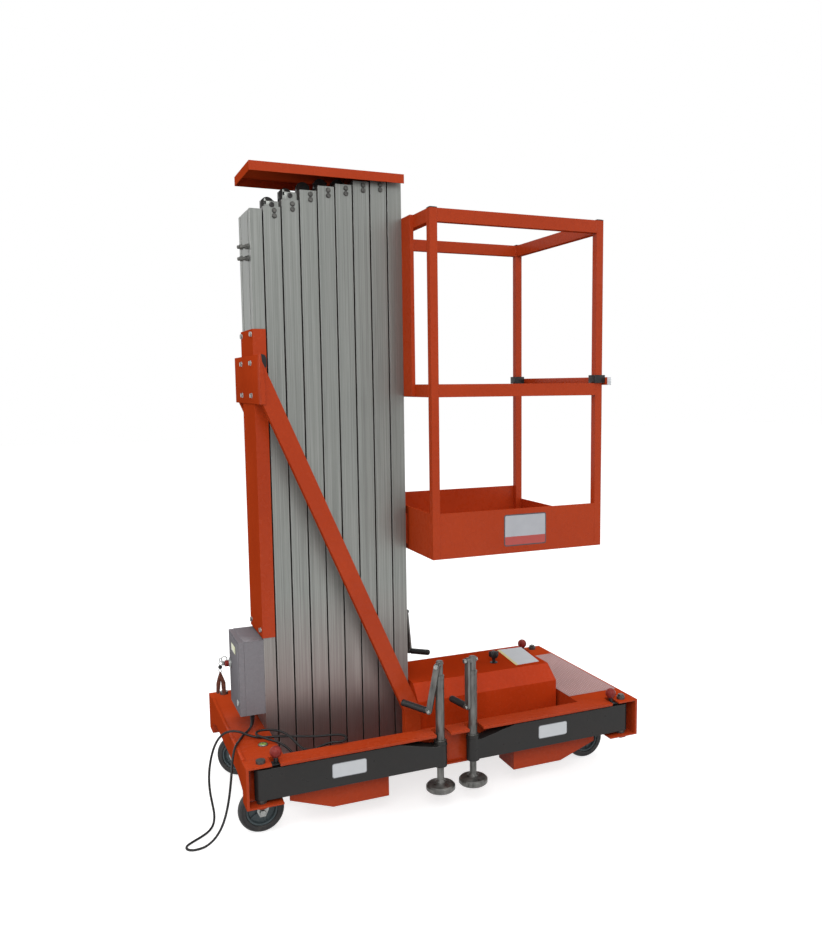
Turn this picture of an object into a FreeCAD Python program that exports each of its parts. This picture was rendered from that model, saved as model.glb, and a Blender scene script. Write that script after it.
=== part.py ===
import FreeCAD, Part
import math
import os
import re
import Sketcher
from FreeCAD import Placement, Rotation, Vector

# Vertical mast lift, millimetres. Origin on the floor under the middle of the base frame, +X from the mast
# towards the entry step, +Y to the far side, +Z up. The mast is shown fully lowered and the outriggers
# folded in.

doc = FreeCAD.newDocument("VerticalMastLift")
sheet = doc.addObject("Spreadsheet::Sheet", "Sheet")
sheet.Label = "Sizes"

SIZES = (
    # Base frame
    ("base_length", 1340), ("base_width", 700), ("deck_top", 262), ("frame_low", 137),
    ("deck_plate", 5), ("rail_flange", 60), ("rail_web", 5), ("rail_lip", 12), ("end_plate", 8),
    ("deck_depth", 122), ("corner_strip", 75), ("pin_slot", 25), ("jack_notch", 48),
    ("arch_leg", 64), ("arch_knee", 172), ("arch_top", 195), ("arch_run", 86),
    ("corner_length", 108), ("pan_plate", 4), ("cross_width", 40), ("cross_height", 40),
    ("brace_foot_gap", 74), ("cross_inset", 25), ("step_depth", 200), ("step_half", 230),
    ("tread_rise", 1.5),
    # Skid boxes under the frame
    ("skid_inner", 450), ("skid_bottom", 68), ("skid_flat", 270), ("skid_nose", 137),
    ("skid_nose_height", 22), ("skid_wall", 3), ("skid_depth", 110), ("skid_box_start", 205),
    ("pan_neck", 104), ("pan_start", 100),
    # Wheels
    ("wheel_radius", 70), ("wheel_width", 36), ("hub_radius", 48), ("hub_width", 30), ("axle_radius", 6),
    ("castor_inset", 90.5), ("castor_side", 140), ("castor_trail", 25), ("far_turn", 325),
    ("rear_inset", 95), ("rear_side", 195), ("wheel_gap", 5), ("fork_plate", 4), ("fork_width", 50),
    ("fork_eye", 17), ("fork_shoulder", 4), ("seat_low", 190), ("seat_plate", 6), ("seat_half", 48),
    ("swivel_radius", 8), ("race_radius", 26), ("race_height", 14), ("crown_plate", 6), ("nut_radius", 13),
    ("nut_height", 8), ("axle_head", 5), ("bore_gap", 0.3),
    # Mast
    ("mast_start", 114), ("column_depth", 36.7), ("mast_half", 88), ("mast_gap", 4.6),
    ("section_depth", 51.5), ("last_depth", 46), ("mast_wall", 5), ("mast_bottom", 172),
    ("column_drop", 130.5), ("foot_plate", 12), ("foot_margin", 12), ("tongue_width", 34),
    ("tongue_reach", 9), ("guide_gap", 0.3), ("groove_spare", 1.5), ("slot_width", 9), ("slot_depth", 7),
    ("slot_side", 56), ("sheave_radius", 21), ("sheave_width", 15), ("sheave_cheek", 4),
    ("sheave_length", 40), ("cheek_root", 10),
    # Cap over the mast
    ("cap_top", 2005.5), ("cap_plate", 3), ("cap_flange", 27.5), ("cap_half", 118), ("cap_left", 3),
    # Column sleeve, brace bracket and braces
    ("sleeve_bottom", 565), ("sleeve_top", 1520), ("sleeve_wall", 4), ("sleeve_half", 95.5),
    ("sleeve_reach", 40), ("hole_drop", 90), ("hole_width", 14), ("hole_length", 26),
    ("bracket_below", 9), ("bracket_above", 137), ("bracket_wall", 4), ("bracket_reach", 16),
    ("brace_out", 196), ("brace_thick", 28), ("brace_width", 50), ("brace_low", 290),
    ("brace_slope", 0.4255), ("brace_head", 1304), ("brace_end", 118),
    # Control box
    ("box_bottom", 320), ("box_top", 558), ("box_half", 87), ("box_depth", 61), ("box_wall", 2),
    ("door_depth", 17), ("door_gap", 0.4), ("hinge_radius", 5), ("hinge_leaf", 2.5), ("hinge_inset", 25),
    ("knuckle", 22), ("gland_radius", 9), ("gland_length", 18), ("gland_x", 75), ("gland_y", 285),
    # Power cover
    ("cover_gap", 8), ("cover_step_gap", 12), ("cover_half", 158), ("cover_shoulder", 302),
    ("cover_top", 354), ("cover_top_half", 115), ("cover_wall", 3), ("cover_lean", 10),
    ("unit_margin", 30), ("unit_drop", 24), ("unit_half", 105), ("knob_back", 183), ("knob_side", 30),
    ("knob_radius", 17), ("knob_height", 16), ("stud_radius", 5), ("stud_height", 12),
    # Outriggers
    ("pivot_inset", 48), ("pivot_side", 30), ("pin_radius", 8), ("arm_half", 20), ("arm_bottom", 154),
    ("arm_top", 247), ("arm_taper", 422), ("arm_end_top", 219), ("jack_side", 57), ("sleeve_radius", 21),
    ("sleeve_low", 148), ("sleeve_high", 231), ("spacer_radius", 15), ("boss_radius", 20),
    ("boss_drop", 8), ("bolt_radius", 14), ("bolt_height", 9), ("pin_end", 6),
    ("jack_radius", 14), ("jack_gap", 0.2), ("jack_bore", 11.5), ("jack_low", 146), ("jack_top", 443),
    ("jack_crown", 20), ("ring_width", 4), ("ring_height", 3), ("head_radius", 11), ("head_top", 488),
    ("leg_radius", 11), ("leg_top", 395), ("pad_radius", 46.5), ("pad_bottom", 68), ("pad_rim", 21),
    ("pad_dome", 4), ("pad_bevel", 5), ("collar_radius", 16), ("collar_height", 5),
    ("crank_height", 478), ("crank_arm", 152), ("crank_thick", 9), ("crank_width", 19), ("crank_gap", 1),
    ("crank_bolt", 5), ("grip_radius", 9), ("grip_length", 84),
    # Lock pins
    ("lock_inset", 92), ("lock_side", 26), ("lock_radius", 5), ("lock_plate", 4),
    ("lock_plate_half", 22), ("lock_plate_width", 26), ("lock_tip", 252), ("ball_height", 288),
    ("ball_radius", 15.5),
    # Basket
    ("basket_gap", 12), ("basket_length", 612), ("basket_half", 296), ("basket_bottom", 805),
    ("basket_top", 1875), ("post", 25), ("rail_height", 40), ("rail_thick", 22), ("mid_rail", 1330),
    ("kick_height", 144), ("entry_kick", 93), ("kick_plate", 4), ("floor_plate", 4), ("rib_height", 30),
    ("floor_notch", 60), ("panel_half", 163), ("panel_bottom", 1312), ("panel_wall", 4),
    ("mount_bottom", 822), ("mount_top", 925), ("mount_half", 70), ("mount_width", 40),
    ("gate_bar", 26), ("gate_bar_thick", 14), ("gate_bar_drop", 7), ("gate_gap", 1.5),
    ("collar_wall", 6), ("gate_overhang", 22),
    # Supply cord
    ("cord_radius", 3.6), ("plug_radius", 17), ("plug_length", 46), ("plug_blade", 18),
)
size = dict(SIZES)
for row, (alias, number) in enumerate(SIZES, start=1):
    sheet.set(f"A{row}", alias)
    sheet.set(f"B{row}", str(number))
    sheet.setAlias(f"B{row}", alias)
doc.recompute()


# Helpers: every size and place is a formula of the sheet's names


def bind(thing, target, formula):
    """Ties one property to a formula, in which each size's name stands for its cell."""
    def cell(word):
        return "Sheet." + word.group() if word.group() in size else word.group()

    thing.setExpression(target, re.sub(r"[a-z_]+[a-z]\b", cell, str(formula)))


def place(thing, x="0", y="0", z="0"):
    for axis, formula in (("x", x), ("y", y), ("z", z)):
        bind(thing, "Placement.Base." + axis, formula)
    return thing


def block(name, x, y, z):
    """A box between two limits along each axis."""
    box = doc.addObject("Part::Box", name)
    for side, (low, high) in (("Length", x), ("Width", y), ("Height", z)):
        bind(box, side, f"({high}) - ({low})")
    return place(box, x[0], y[0], z[0])


TURN = {"z": Rotation(), "x": Rotation(Vector(0, 1, 0), 90), "y": Rotation(Vector(1, 0, 0), -90)}


def rod(name, axis, start, length, radius):
    """A round bar that starts at a point and runs along +X, +Y or +Z."""
    bar = doc.addObject("Part::Cylinder", name)
    bar.Placement = Placement(Vector(), TURN[axis])
    bind(bar, "Radius", radius)
    bind(bar, "Height", length)
    return place(bar, *start)


def join(name, pieces):
    fuse = doc.addObject("Part::MultiFuse", name)
    fuse.Shapes = list(pieces)
    fuse.Refine = True
    return fuse


def cut(name, base, tools):
    difference = doc.addObject("Part::Cut", name)
    difference.Base = base
    difference.Tool = tools[0] if len(tools) == 1 else join(name + "_tools", tools)
    return difference


def plane_of(body, role):
    return next(item for item in body.Origin.OriginFeatures if item.Role == role)


SKETCH_START = 100


def outline(body, name, role, corners):
    """A closed sketch whose every corner is tied to a pair of formulas."""
    sketch = body.newObject("Sketcher::SketchObject", name)
    sketch.AttachmentSupport = (plane_of(body, role), [""])
    sketch.MapMode = "FlatFace"
    count = len(corners)
    angles = [2 * math.pi * k / count for k in range(count)]
    start = [Vector(SKETCH_START * math.cos(a), SKETCH_START * math.sin(a), 0) for a in angles]
    for k in range(count):
        sketch.addGeometry(Part.LineSegment(start[k], start[(k + 1) % count]), False)
    for k in range(count):
        sketch.addConstraint(Sketcher.Constraint("Coincident", k, 2, (k + 1) % count, 1))
    for k, (across, up) in enumerate(corners):
        for kind, formula, at in (("DistanceX", across, start[k].x), ("DistanceY", up, start[k].y)):
            index = sketch.addConstraint(Sketcher.Constraint(kind, -1, 1, k, 1, at))
            bind(sketch, f"Constraints[{index}]", formula)
    return sketch


def plate(name, role, corners, low, high):
    """A profile padded between two levels: XY profiles along Z, XZ along Y, YZ along X."""
    body = doc.addObject("PartDesign::Body", name)
    sketch = outline(body, name + "_profile", role, corners)
    pad = body.newObject("PartDesign::Pad", name + "_pad")
    pad.Profile = sketch
    bind(pad, "Length", f"({high}) - ({low})")
    axis = {"XY_Plane": "z", "XZ_Plane": "y", "YZ_Plane": "x"}[role]
    bind(body, "Placement.Base." + axis, high if axis == "y" else low)
    return body


def turned(name, corners, axis, centre):
    """A profile of (radius, height) corners turned about the line through centre along axis."""
    body = doc.addObject("PartDesign::Body", name)
    sketch = outline(body, name + "_profile", "XZ_Plane", corners)
    spin = body.newObject("PartDesign::Revolution", name + "_turn")
    spin.Profile = sketch
    spin.ReferenceAxis = (sketch, ["V_Axis"])
    spin.Angle = 360
    body.Placement = Placement(Vector(), TURN[axis])
    return place(body, *centre)


nodes = []


def node(thing, label):
    """Names a finished sub-part, which becomes one file."""
    thing.Label = label
    nodes.append(thing)
    return thing


SIDES = (("near", "-1"), ("far", "1"))
ENDS = (("left", "-1"), ("right", "1"))
CORNERS = [(end + "_" + side, u, v) for end, u in ENDS for side, v in SIDES]

# How far a cutting tool reaches past what it cuts
OVER = 20

half_length = "base_length/2"
half_width = "base_width/2"
web_out = "(base_width/2 - rail_flange)"
pan_side = f"({web_out} - rail_web)"
pan_top = "(frame_low + pan_plate)"
pan_end = f"({half_length} - step_depth)"
foot_top = f"({pan_top} + foot_plate)"
column_left = f"(-{half_length} + mast_start)"
column_face = f"({column_left} + column_depth)"
mast_right = f"({column_face} + 8*mast_gap + 7*section_depth + last_depth)"
bracket_back = f"({column_left} - sleeve_wall - bracket_wall)"
brace_start = f"({bracket_back} + bracket_wall + bore_gap)"
brace_across = "(brace_width*sqrt(1 + brace_slope*brace_slope))"
brace_run = f"({brace_start} + (brace_head - brace_low)*brace_slope)"
brace_top = "(brace_head + brace_end)"


def span(sign, low, high):
    """Limits of a piece on the side given by sign, from the middle outwards."""
    return (low, high) if sign == "1" else (f"-({high})", f"-({low})")


# Side rails: two pressed channels, open outwards, whose top flange is notched for the jacks

rails = []
flange_end = f"{half_length} - corner_strip - pin_slot"
for side, v in SIDES:
    profile = [(f"{v}*({y})", z) for y, z in (
        (f"{web_out} - rail_web", "frame_low"), (f"{web_out} + rail_lip", "frame_low"),
        (f"{web_out} + rail_lip", "frame_low + rail_web"), (web_out, "frame_low + rail_web"),
        (web_out, "deck_top - deck_plate"), (half_width, "deck_top - deck_plate"),
        (half_width, "deck_top"), (f"{web_out} - rail_web", "deck_top"))]
    channel = plate(f"channel_{side}", "YZ_Plane", profile, f"-{half_length} + end_plate",
                    f"{half_length} - end_plate")
    notches = []
    for end, u in ENDS:
        notches.append(block(
            f"jack_notch_{end}_{side}", (f"{u}*jack_side - jack_notch/2", f"{u}*jack_side + jack_notch/2"),
            span(v, f"{web_out} + 1", f"{half_width} + 1"), (f"deck_top - {OVER}", f"deck_top + {OVER}")))
        notches.append(block(
            f"flange_end_{end}_{side}", span(u, flange_end, half_length),
            span(v, web_out, f"{half_width} + 1"), ("frame_low - 1", f"deck_top + {OVER}")))
    rails.append(cut(f"rail_{side}", channel, notches))
node(join("rails", rails), "side_rails")

# End frames: arched end plates with the deck corners and the pivot bosses welded on

ends = []
inside = f"({half_length} - end_plate)"
for end, u in ENDS:
    leg = f"({half_width} - arch_leg)"
    arch = [("-" + half_width, "frame_low"), (f"-{leg}", "frame_low"), (f"-{leg}", "arch_knee"),
            (f"-({leg} - arch_run)", "arch_top"), (f"{leg} - arch_run", "arch_top"), (leg, "arch_knee"),
            (leg, "frame_low"), (half_width, "frame_low"), (half_width, "deck_top"),
            ("-" + half_width, "deck_top")]
    pieces = [plate(f"arch_{end}", "YZ_Plane", arch, *span(u, inside, half_length))]
    bores = []
    for side, v in SIDES:
        pivot_x = f"{u}*({half_length} - pivot_inset)"
        pivot_y = f"{v}*({half_width} - pivot_side)"
        deck = ("deck_top - deck_plate", "deck_top")
        pieces.append(block(f"corner_strip_{end}_{side}", span(u, f"{half_length} - corner_strip", inside),
                            span(v, web_out, half_width), deck))
        pieces.append(block(f"corner_plate_{end}_{side}", span(u, f"{half_length} - corner_length", inside),
                            span(v, f"{web_out} + rail_lip", half_width),
                            ("frame_low", "frame_low + rail_web")))
        pieces.append(rod(f"boss_{end}_{side}", "z", (pivot_x, pivot_y, "frame_low - boss_drop"),
                          "boss_drop + rail_web/2", "boss_radius"))
        if end == "right":
            pieces.append(block(f"corner_deck_{side}", (f"{pan_end} + deck_plate", inside),
                                span(v, "step_half", pan_side), deck))
        bores.append(rod(f"pivot_bore_{end}_{side}", "z", (pivot_x, pivot_y, f"frame_low - {OVER}"),
                         f"deck_top - frame_low + 2*{OVER}", "pin_radius"))
    ends.append(cut(f"end_{end}", join(f"end_{end}_solid", pieces), bores))
node(join("ends", ends), "end_frames")

# Mast deck: the glossy plate between the left corners, and the tread plate to stand on at the right

mast_deck = block("deck_left", (f"-{inside}", f"-{half_length} + deck_depth"), (f"-{pan_side}", pan_side),
                  ("deck_top - deck_plate", "deck_top"))
column_notch = block("column_notch", (column_left, f"-{half_length} + deck_depth + 1"),
                     ("-mast_half", "mast_half"), (f"deck_top - {OVER}", f"deck_top + {OVER}"))
node(cut("deck", mast_deck, [column_notch]), "mast_deck")
step = block("step_right", (pan_end, inside), ("-step_half", "step_half"),
             ("deck_top - deck_plate", "deck_top + tread_rise"))
step_front = block("step_front", (pan_end, f"{pan_end} + deck_plate"), (f"-{pan_side}", pan_side),
                   ("frame_low", "deck_top"))
node(join("step", [step, step_front]), "step_plate")

# Floor pan, narrowed to a neck between the swivelling wheels, and what stands on it

neck_start = f"-{half_length} + pan_start"
pan = plate("pan", "XY_Plane", [
    (neck_start, "-pan_neck"), (f"-{pan_end}", "-pan_neck"), (f"-{pan_end}", f"-{pan_side}"),
    (pan_end, f"-{pan_side}"), (pan_end, pan_side), (f"-{pan_end}", pan_side),
    (f"-{pan_end}", "pan_neck"), (neck_start, "pan_neck")], "frame_low", pan_top)
node(pan, "floor_pan")
member_places = {"left": f"({brace_run} + {brace_across} + brace_foot_gap + cross_width/2)",
                 "right": f"({pan_end} - cross_inset)"}
members = [block(f"member_{name}", (f"{middle} - cross_width/2", f"{middle} + cross_width/2"),
                 (f"-{pan_side}", pan_side), (pan_top, f"{pan_top} + cross_height"))
           for name, middle in member_places.items()]
members.append(block("mast_foot", (f"{column_left} - foot_margin", f"{mast_right} + foot_margin"),
                     ("-mast_half - foot_margin", "mast_half + foot_margin"), (pan_top, foot_top)))
node(join("members", members), "cross_members")

# Skid boxes: closed boxes under the frame, whose outer plate runs on as a rising nose past the wheels

skids = []
nose_low = "frame_low - skid_nose_height"
nose_rise = f"({nose_low} - skid_bottom)/(skid_flat - skid_nose)"
for end, u in ENDS:
    inner, flat, start, tip = (f"{u}*({half_length} - {reach})" for reach in (
        "skid_inner", "skid_flat", "skid_box_start", "skid_nose"))
    box = [(inner, "skid_bottom"), (flat, "skid_bottom"),
           (start, f"skid_bottom + (skid_flat - skid_box_start)*{nose_rise}"), (start, "frame_low"),
           (inner, "frame_low")]
    nose = [(flat, "skid_bottom"), (tip, nose_low), (tip, "frame_low"), (flat, "frame_low")]
    for side, v in SIDES:
        skids.append(join(f"skid_{end}_{side}", [
            plate(f"skid_box_{end}_{side}", "XZ_Plane", box, *span(v, f"{web_out} - skid_depth", web_out)),
            plate(f"skid_skirt_{end}_{side}", "XZ_Plane", nose,
                  *span(v, f"{web_out} - skid_wall", web_out))]))
node(join("skids", skids), "skid_boxes")

# Wheel seats: folded hangers under the decks, which carry the two swivel and the two rigid forks

seats = []
WHEEL_PLACES = [(end, side, u, v, f"{u}*({half_length} - {inset})", f"{v}*({half_width} - {reach})")
                for end, u, inset, reach in (("left", "-1", "castor_inset", "castor_side"),
                                             ("right", "1", "rear_inset", "rear_side")) for side, v in SIDES]
for end, side, u, v, x, y in WHEEL_PLACES:
    wall_end = f"{x} + seat_half" if end == "right" else f"-{half_length} + deck_depth"
    bottom = block(f"seat_{end}_{side}", (f"{x} - seat_half", f"{x} + seat_half"),
                   (f"{y} - seat_half", f"{y} + seat_half"), ("seat_low", "seat_low + seat_plate"))
    walls = [block(f"seat_wall_{end}_{side}_{name}", (f"{x} - seat_half", wall_end),
                   (f"{y} {low}", f"{y} {high}"), ("seat_low", "deck_top - deck_plate"))
             for name, low, high in (("low", "- seat_half", "- seat_half + seat_plate"),
                                     ("high", "+ seat_half - seat_plate", "+ seat_half"))]
    bore = rod(f"seat_bore_{end}_{side}", "z", (x, y, f"seat_low - {OVER}"), f"seat_plate + 2*{OVER}",
               "swivel_radius + bore_gap")
    seats.append(cut(f"seat_cut_{end}_{side}", join(f"seat_solid_{end}_{side}", [bottom] + walls), [bore]))
node(join("seats", seats), "wheel_seats")


def fork(name, trail, x, y, turn):
    """A pressed fork hung on its swivel stem, with the axle through its two legs."""
    crown_low = "(seat_low - bore_gap - race_height - crown_plate)"
    crown_top = f"({crown_low} + crown_plate)"
    leg_in = "(wheel_width/2 + wheel_gap)"
    leg_out = f"({leg_in} + fork_plate)"
    shoulder, eye_low = "wheel_radius + fork_shoulder", "wheel_radius - fork_eye*0.87"
    leg = [("-fork_width/2", crown_top), ("-fork_width/2", crown_low), (f"-{trail} - fork_eye", shoulder),
           (f"-{trail} - fork_eye/2", eye_low), (f"-{trail} + fork_eye/2", eye_low),
           (f"-{trail} + fork_eye", shoulder), ("fork_width/2", crown_low), ("fork_width/2", crown_top)]
    pieces = [plate(f"{name}_leg_near", "XZ_Plane", leg, f"-{leg_out}", f"-{leg_in}"),
              plate(f"{name}_leg_far", "XZ_Plane", leg, leg_in, leg_out),
              block(f"{name}_crown", ("-fork_width/2", "fork_width/2"), (f"-{leg_out}", leg_out),
                    (crown_low, crown_top)),
              rod(f"{name}_race", "z", ("0", "0", crown_top), "race_height", "race_radius"),
              rod(f"{name}_stem", "z", ("0", "0", crown_low),
                  "crown_plate + race_height + 2*bore_gap + seat_plate + nut_height", "swivel_radius"),
              rod(f"{name}_nut", "z", ("0", "0", "seat_low + seat_plate + bore_gap"), "nut_height",
                  "nut_radius"),
              rod(f"{name}_axle", "y", (f"-{trail}", f"-{leg_out} - axle_head", "wheel_radius"),
                  f"2*({leg_out} + axle_head)", "axle_radius")]
    whole = join(name, pieces)
    whole.Placement = Placement(Vector(), Rotation(Vector(0, 0, 1), 0))
    bind(whole, "Placement.Rotation.Angle", turn)
    return place(whole, x, y)


def wheel(name, profile, x, y, turn):
    """A ring turned about its own axle: corners are (along the axle, radius)."""
    body = doc.addObject("PartDesign::Body", name)
    sketch = outline(body, name + "_profile", "XY_Plane", profile)
    ring = body.newObject("PartDesign::Revolution", name + "_turn")
    ring.Profile = sketch
    ring.ReferenceAxis = (sketch, ["H_Axis"])
    ring.Angle = 360
    body.Placement = Placement(Vector(), Rotation(Vector(0, 0, 1), 90))
    bind(body, "Placement.Rotation.Angle", f"90 + {turn}")
    return place(body, x, y, "wheel_radius")


tyre_side, hub_side, boss_side = "wheel_width/2", "hub_width/2", "(hub_width/2 + wheel_gap/2)"
TYRE = [(f"-{tyre_side}", "hub_radius + bore_gap"), (tyre_side, "hub_radius + bore_gap"),
        (tyre_side, "wheel_radius - 9"), (f"{tyre_side} - 3", "wheel_radius - 3.5"),
        (f"{tyre_side} - 9", "wheel_radius - 0.6"), ("0", "wheel_radius"),
        (f"-{tyre_side} + 9", "wheel_radius - 0.6"), (f"-{tyre_side} + 3", "wheel_radius - 3.5"),
        (f"-{tyre_side}", "wheel_radius - 9")]
HUB = [(f"-{boss_side}", "axle_radius + bore_gap"), (boss_side, "axle_radius + bore_gap"),
       (boss_side, "2.4*axle_radius"), ("4", "3*axle_radius"), ("4", "hub_radius - 8"),
       (hub_side, "hub_radius - 6"), (hub_side, "hub_radius"), (f"-{hub_side}", "hub_radius"),
       (f"-{hub_side}", "hub_radius - 6"), ("-4", "hub_radius - 8"), ("-4", "3*axle_radius"),
       (f"-{boss_side}", "2.4*axle_radius")]
rear_forks = []
for end, side, u, v, x, y in WHEEL_PLACES:
    turn = "far_turn" if (end, side) == ("left", "far") else "0"
    trail = "castor_trail" if end == "left" else "0"
    kind = "castor" if end == "left" else "rear"
    hanger = fork(f"fork_{end}_{side}", trail, x, y, turn)
    if end == "left":
        node(hanger, f"castor_fork_{side}")
    else:
        rear_forks.append(hanger)
    hub_x, hub_y = f"{x} - {trail}*cos({turn})", f"{y} - {trail}*sin({turn})"
    node(wheel(f"tyre_{end}_{side}", TYRE, hub_x, hub_y, turn), f"{kind}_tyre_{side}")
    node(wheel(f"hub_{end}_{side}", HUB, hub_x, hub_y, turn), f"{kind}_hub_{side}")

node(join("rear_fork_pair", rear_forks), "rear_forks")

# Mast: a fixed column and eight sections, each with a rail that runs in the groove of the next

groove_half = "(tongue_width/2 + guide_gap)"
groove_depth = "(tongue_reach + groove_spare)"
column_top = "(cap_top - column_drop)"


def chambers(name, left, right, low, high):
    """The two hollow cells that run the length of an extrusion."""
    return [block(f"{name}_cell_{side}", (f"{left} + mast_wall", f"{right} - mast_wall"),
                  span(v, f"{groove_half} + mast_wall", "mast_half - mast_wall"),
                  (f"{low} - 1", f"{high} + 1"))
            for side, v in SIDES]


tongue_end = f"{column_face} + mast_gap + tongue_reach"
column_outline = [(column_left, "mast_half")]
for v, first, last in (("1", "+", "-"), ("-1", "+", "-")):
    for x, way in ((column_left, first), (f"{column_left} + slot_depth", first),
                   (f"{column_left} + slot_depth", last), (column_left, last)):
        column_outline.append((x, f"{v}*slot_side {way} slot_width/2"))
column_outline += [(column_left, "-mast_half"), (column_face, "-mast_half"),
                   (column_face, "-tongue_width/2"), (tongue_end, "-tongue_width/2"),
                   (tongue_end, "tongue_width/2"),
                   (column_face, "tongue_width/2"), (column_face, "mast_half")]
column = plate("column", "XY_Plane", column_outline, foot_top, column_top)
node(cut("column_hollow", column, chambers("column", f"{column_left} + slot_depth", column_face, foot_top,
                                           column_top)), "mast_column")

# One row for each moving section: how far its top lies below the cap's, and how far its sheave stands
# out. The last section carries the cap, and has no sheave.
SECTIONS = ((121.5, 22), (98.5, 29), (66, 20), (49.5, 18), (39.5, 11), (25.5, 0), (19.5, 0), (None, 0))
left = f"({column_face} + mast_gap)"
for number, (drop, sheave) in enumerate(SECTIONS, start=1):
    last = drop is None
    right = mast_right if last else f"({left} + section_depth)"
    high = "(cap_top - cap_plate)" if last else f"(cap_top - {drop})"
    groove = [(left, "-mast_half"), (right, "-mast_half")]
    if not last:
        reach = f"{right} + mast_gap + tongue_reach"
        groove += [(right, "-tongue_width/2"), (reach, "-tongue_width/2"), (reach, "tongue_width/2"),
                   (right, "tongue_width/2")]
    groove += [(right, "mast_half"), (left, "mast_half"), (left, groove_half),
               (f"{left} + {groove_depth}", groove_half), (f"{left} + {groove_depth}", f"-{groove_half}"),
               (left, f"-{groove_half}")]
    section = plate(f"section_{number}", "XY_Plane", groove, "mast_bottom", high)
    cells = chambers(f"section_{number}", f"{left} + {groove_depth}", right, "mast_bottom", high)
    whole = cut(f"section_{number}_hollow", section, cells)
    if sheave:
        middle = f"({left} + {groove_depth} + sheave_length/2)"
        centre = f"{high} + {sheave}"
        wheels = [rod(f"sheave_{number}", "y", (middle, "-sheave_width/2", centre), "sheave_width",
                      "sheave_radius"),
                  rod(f"sheave_axle_{number}", "y", (middle, "-sheave_width/2 - 2*sheave_cheek", centre),
                      "sheave_width + 4*sheave_cheek", "sheave_radius/3")]
        for side, v in SIDES:
            wheels.append(block(
                f"cheek_{number}_{side}", (f"{middle} - sheave_length/2", f"{middle} + sheave_length/2"),
                span(v, "sheave_width/2", "sheave_width/2 + sheave_cheek"),
                (f"{high} - cheek_root", f"{centre} + sheave_radius/2")))
        whole = join(f"section_{number}_whole", [whole] + wheels)
    node(whole, f"mast_section_{number}")
    left = f"({right} + mast_gap)"

# Cap: an inverted tray that rides on the last section and covers the others

cap_start = f"{column_left} - cap_left"
cap = block("cap_solid", (cap_start, mast_right), ("-cap_half", "cap_half"),
            ("cap_top - cap_flange", "cap_top"))
cap_inside = block("cap_inside", (f"{cap_start} + cap_plate", f"{mast_right} + 1"),
                   ("-cap_half + cap_plate", "cap_half - cap_plate"),
                   ("cap_top - cap_flange - 1", "cap_top - cap_plate"))
node(cut("cap", cap, [cap_inside]), "mast_cap")

# Column sleeve: a channel round the fixed column, with a round-ended service hole on each side

sleeve_left = f"{column_left} - sleeve_wall"
sleeve = block("sleeve_solid", (sleeve_left, f"{sleeve_left} + sleeve_reach"),
               ("-sleeve_half", "sleeve_half"), ("sleeve_bottom", "sleeve_top"))
sleeve_inside = block("sleeve_inside", (column_left, f"{column_left} + sleeve_reach"),
                      ("-sleeve_half + sleeve_wall", "sleeve_half - sleeve_wall"),
                      ("sleeve_bottom - 1", "sleeve_top + 1"))
hole_x = f"{sleeve_left} + sleeve_reach/2"
hole_z = ("sleeve_top - hole_drop - (hole_length - hole_width)/2",
          "sleeve_top - hole_drop + (hole_length - hole_width)/2")
hole = [rod(f"hole_{k}", "y", (hole_x, f"-sleeve_half - {OVER}", end_z), f"2*sleeve_half + 2*{OVER}",
            "hole_width/2") for k, end_z in enumerate(hole_z)]
hole.append(block("hole_middle", (f"{hole_x} - hole_width/2", f"{hole_x} + hole_width/2"),
                  (f"-sleeve_half - {OVER}", f"sleeve_half + {OVER}"), hole_z))
node(cut("sleeve", sleeve, [sleeve_inside] + hole), "column_sleeve")

# Brace bracket: a folded yoke behind the sleeve, between whose arms the two braces are bolted

bracket_z = ("brace_head - bracket_below", "brace_head + bracket_above")
bracket = block("bracket_solid", (bracket_back, f"{bracket_back} + bracket_reach"),
                ("-brace_out - bracket_wall", "brace_out + bracket_wall"), bracket_z)
bracket_inside = block("bracket_inside",
                       (f"{bracket_back} + bracket_wall", f"{bracket_back} + bracket_reach + 1"),
                       ("-brace_out", "brace_out"), (f"{bracket_z[0]} - 1", f"{bracket_z[1]} + 1"))
node(cut("bracket", bracket, [bracket_inside]), "brace_bracket")

brace_side = [(brace_start, "brace_head"), (brace_start, brace_top),
              (f"{brace_start} + {brace_across} - brace_end*brace_slope", brace_top),
              (f"{brace_run} + {brace_across}", "brace_low"), (f"{brace_run} + {brace_across}", pan_top),
              (brace_run, pan_top), (brace_run, "brace_low")]
braces = [plate(f"brace_{side}", "XZ_Plane", brace_side, *span(v, "brace_out - brace_thick", "brace_out"))
          for side, v in SIDES]
node(join("both_braces", braces), "braces")

# Control box: a sheet-metal case on the column with a hinged door on its outer face

case_left = f"({column_left} - box_depth)"
case = block("case_solid", (case_left, column_left), ("-box_half", "box_half"), ("box_bottom", "box_top"))
case_inside = block("case_inside", (f"{case_left} - 1", f"{column_left} - box_wall"),
                    ("-box_half + box_wall", "box_half - box_wall"),
                    ("box_bottom + box_wall", "box_top - box_wall"))
hinge_x = f"({case_left} - door_gap/2)"
hinge_y = "(box_half + hinge_radius + door_gap)"
leaf_y = ("box_half", "box_half + hinge_leaf")
case_hinges = []
door_hinges = []
for k, low in enumerate(("(box_bottom + hinge_inset)", "(box_top - hinge_inset - 2*knuckle)")):
    case_z = (low, f"{low} + knuckle")
    door_z = (f"{low} + knuckle + bore_gap", f"{low} + 2*knuckle + bore_gap")
    for kind, leaf_x, z, hinges in (
            ("case", (f"{hinge_x} + 1", f"{hinge_x} + 3*hinge_radius"), case_z, case_hinges),
            ("door", (f"{hinge_x} - 2.5*hinge_radius", f"{hinge_x} - 1"), door_z, door_hinges)):
        hinges.append(rod(f"{kind}_knuckle_{k}", "z", (hinge_x, hinge_y, z[0]), "knuckle", "hinge_radius"))
        hinges.append(block(f"{kind}_leaf_{k}", leaf_x, leaf_y, z))
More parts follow.
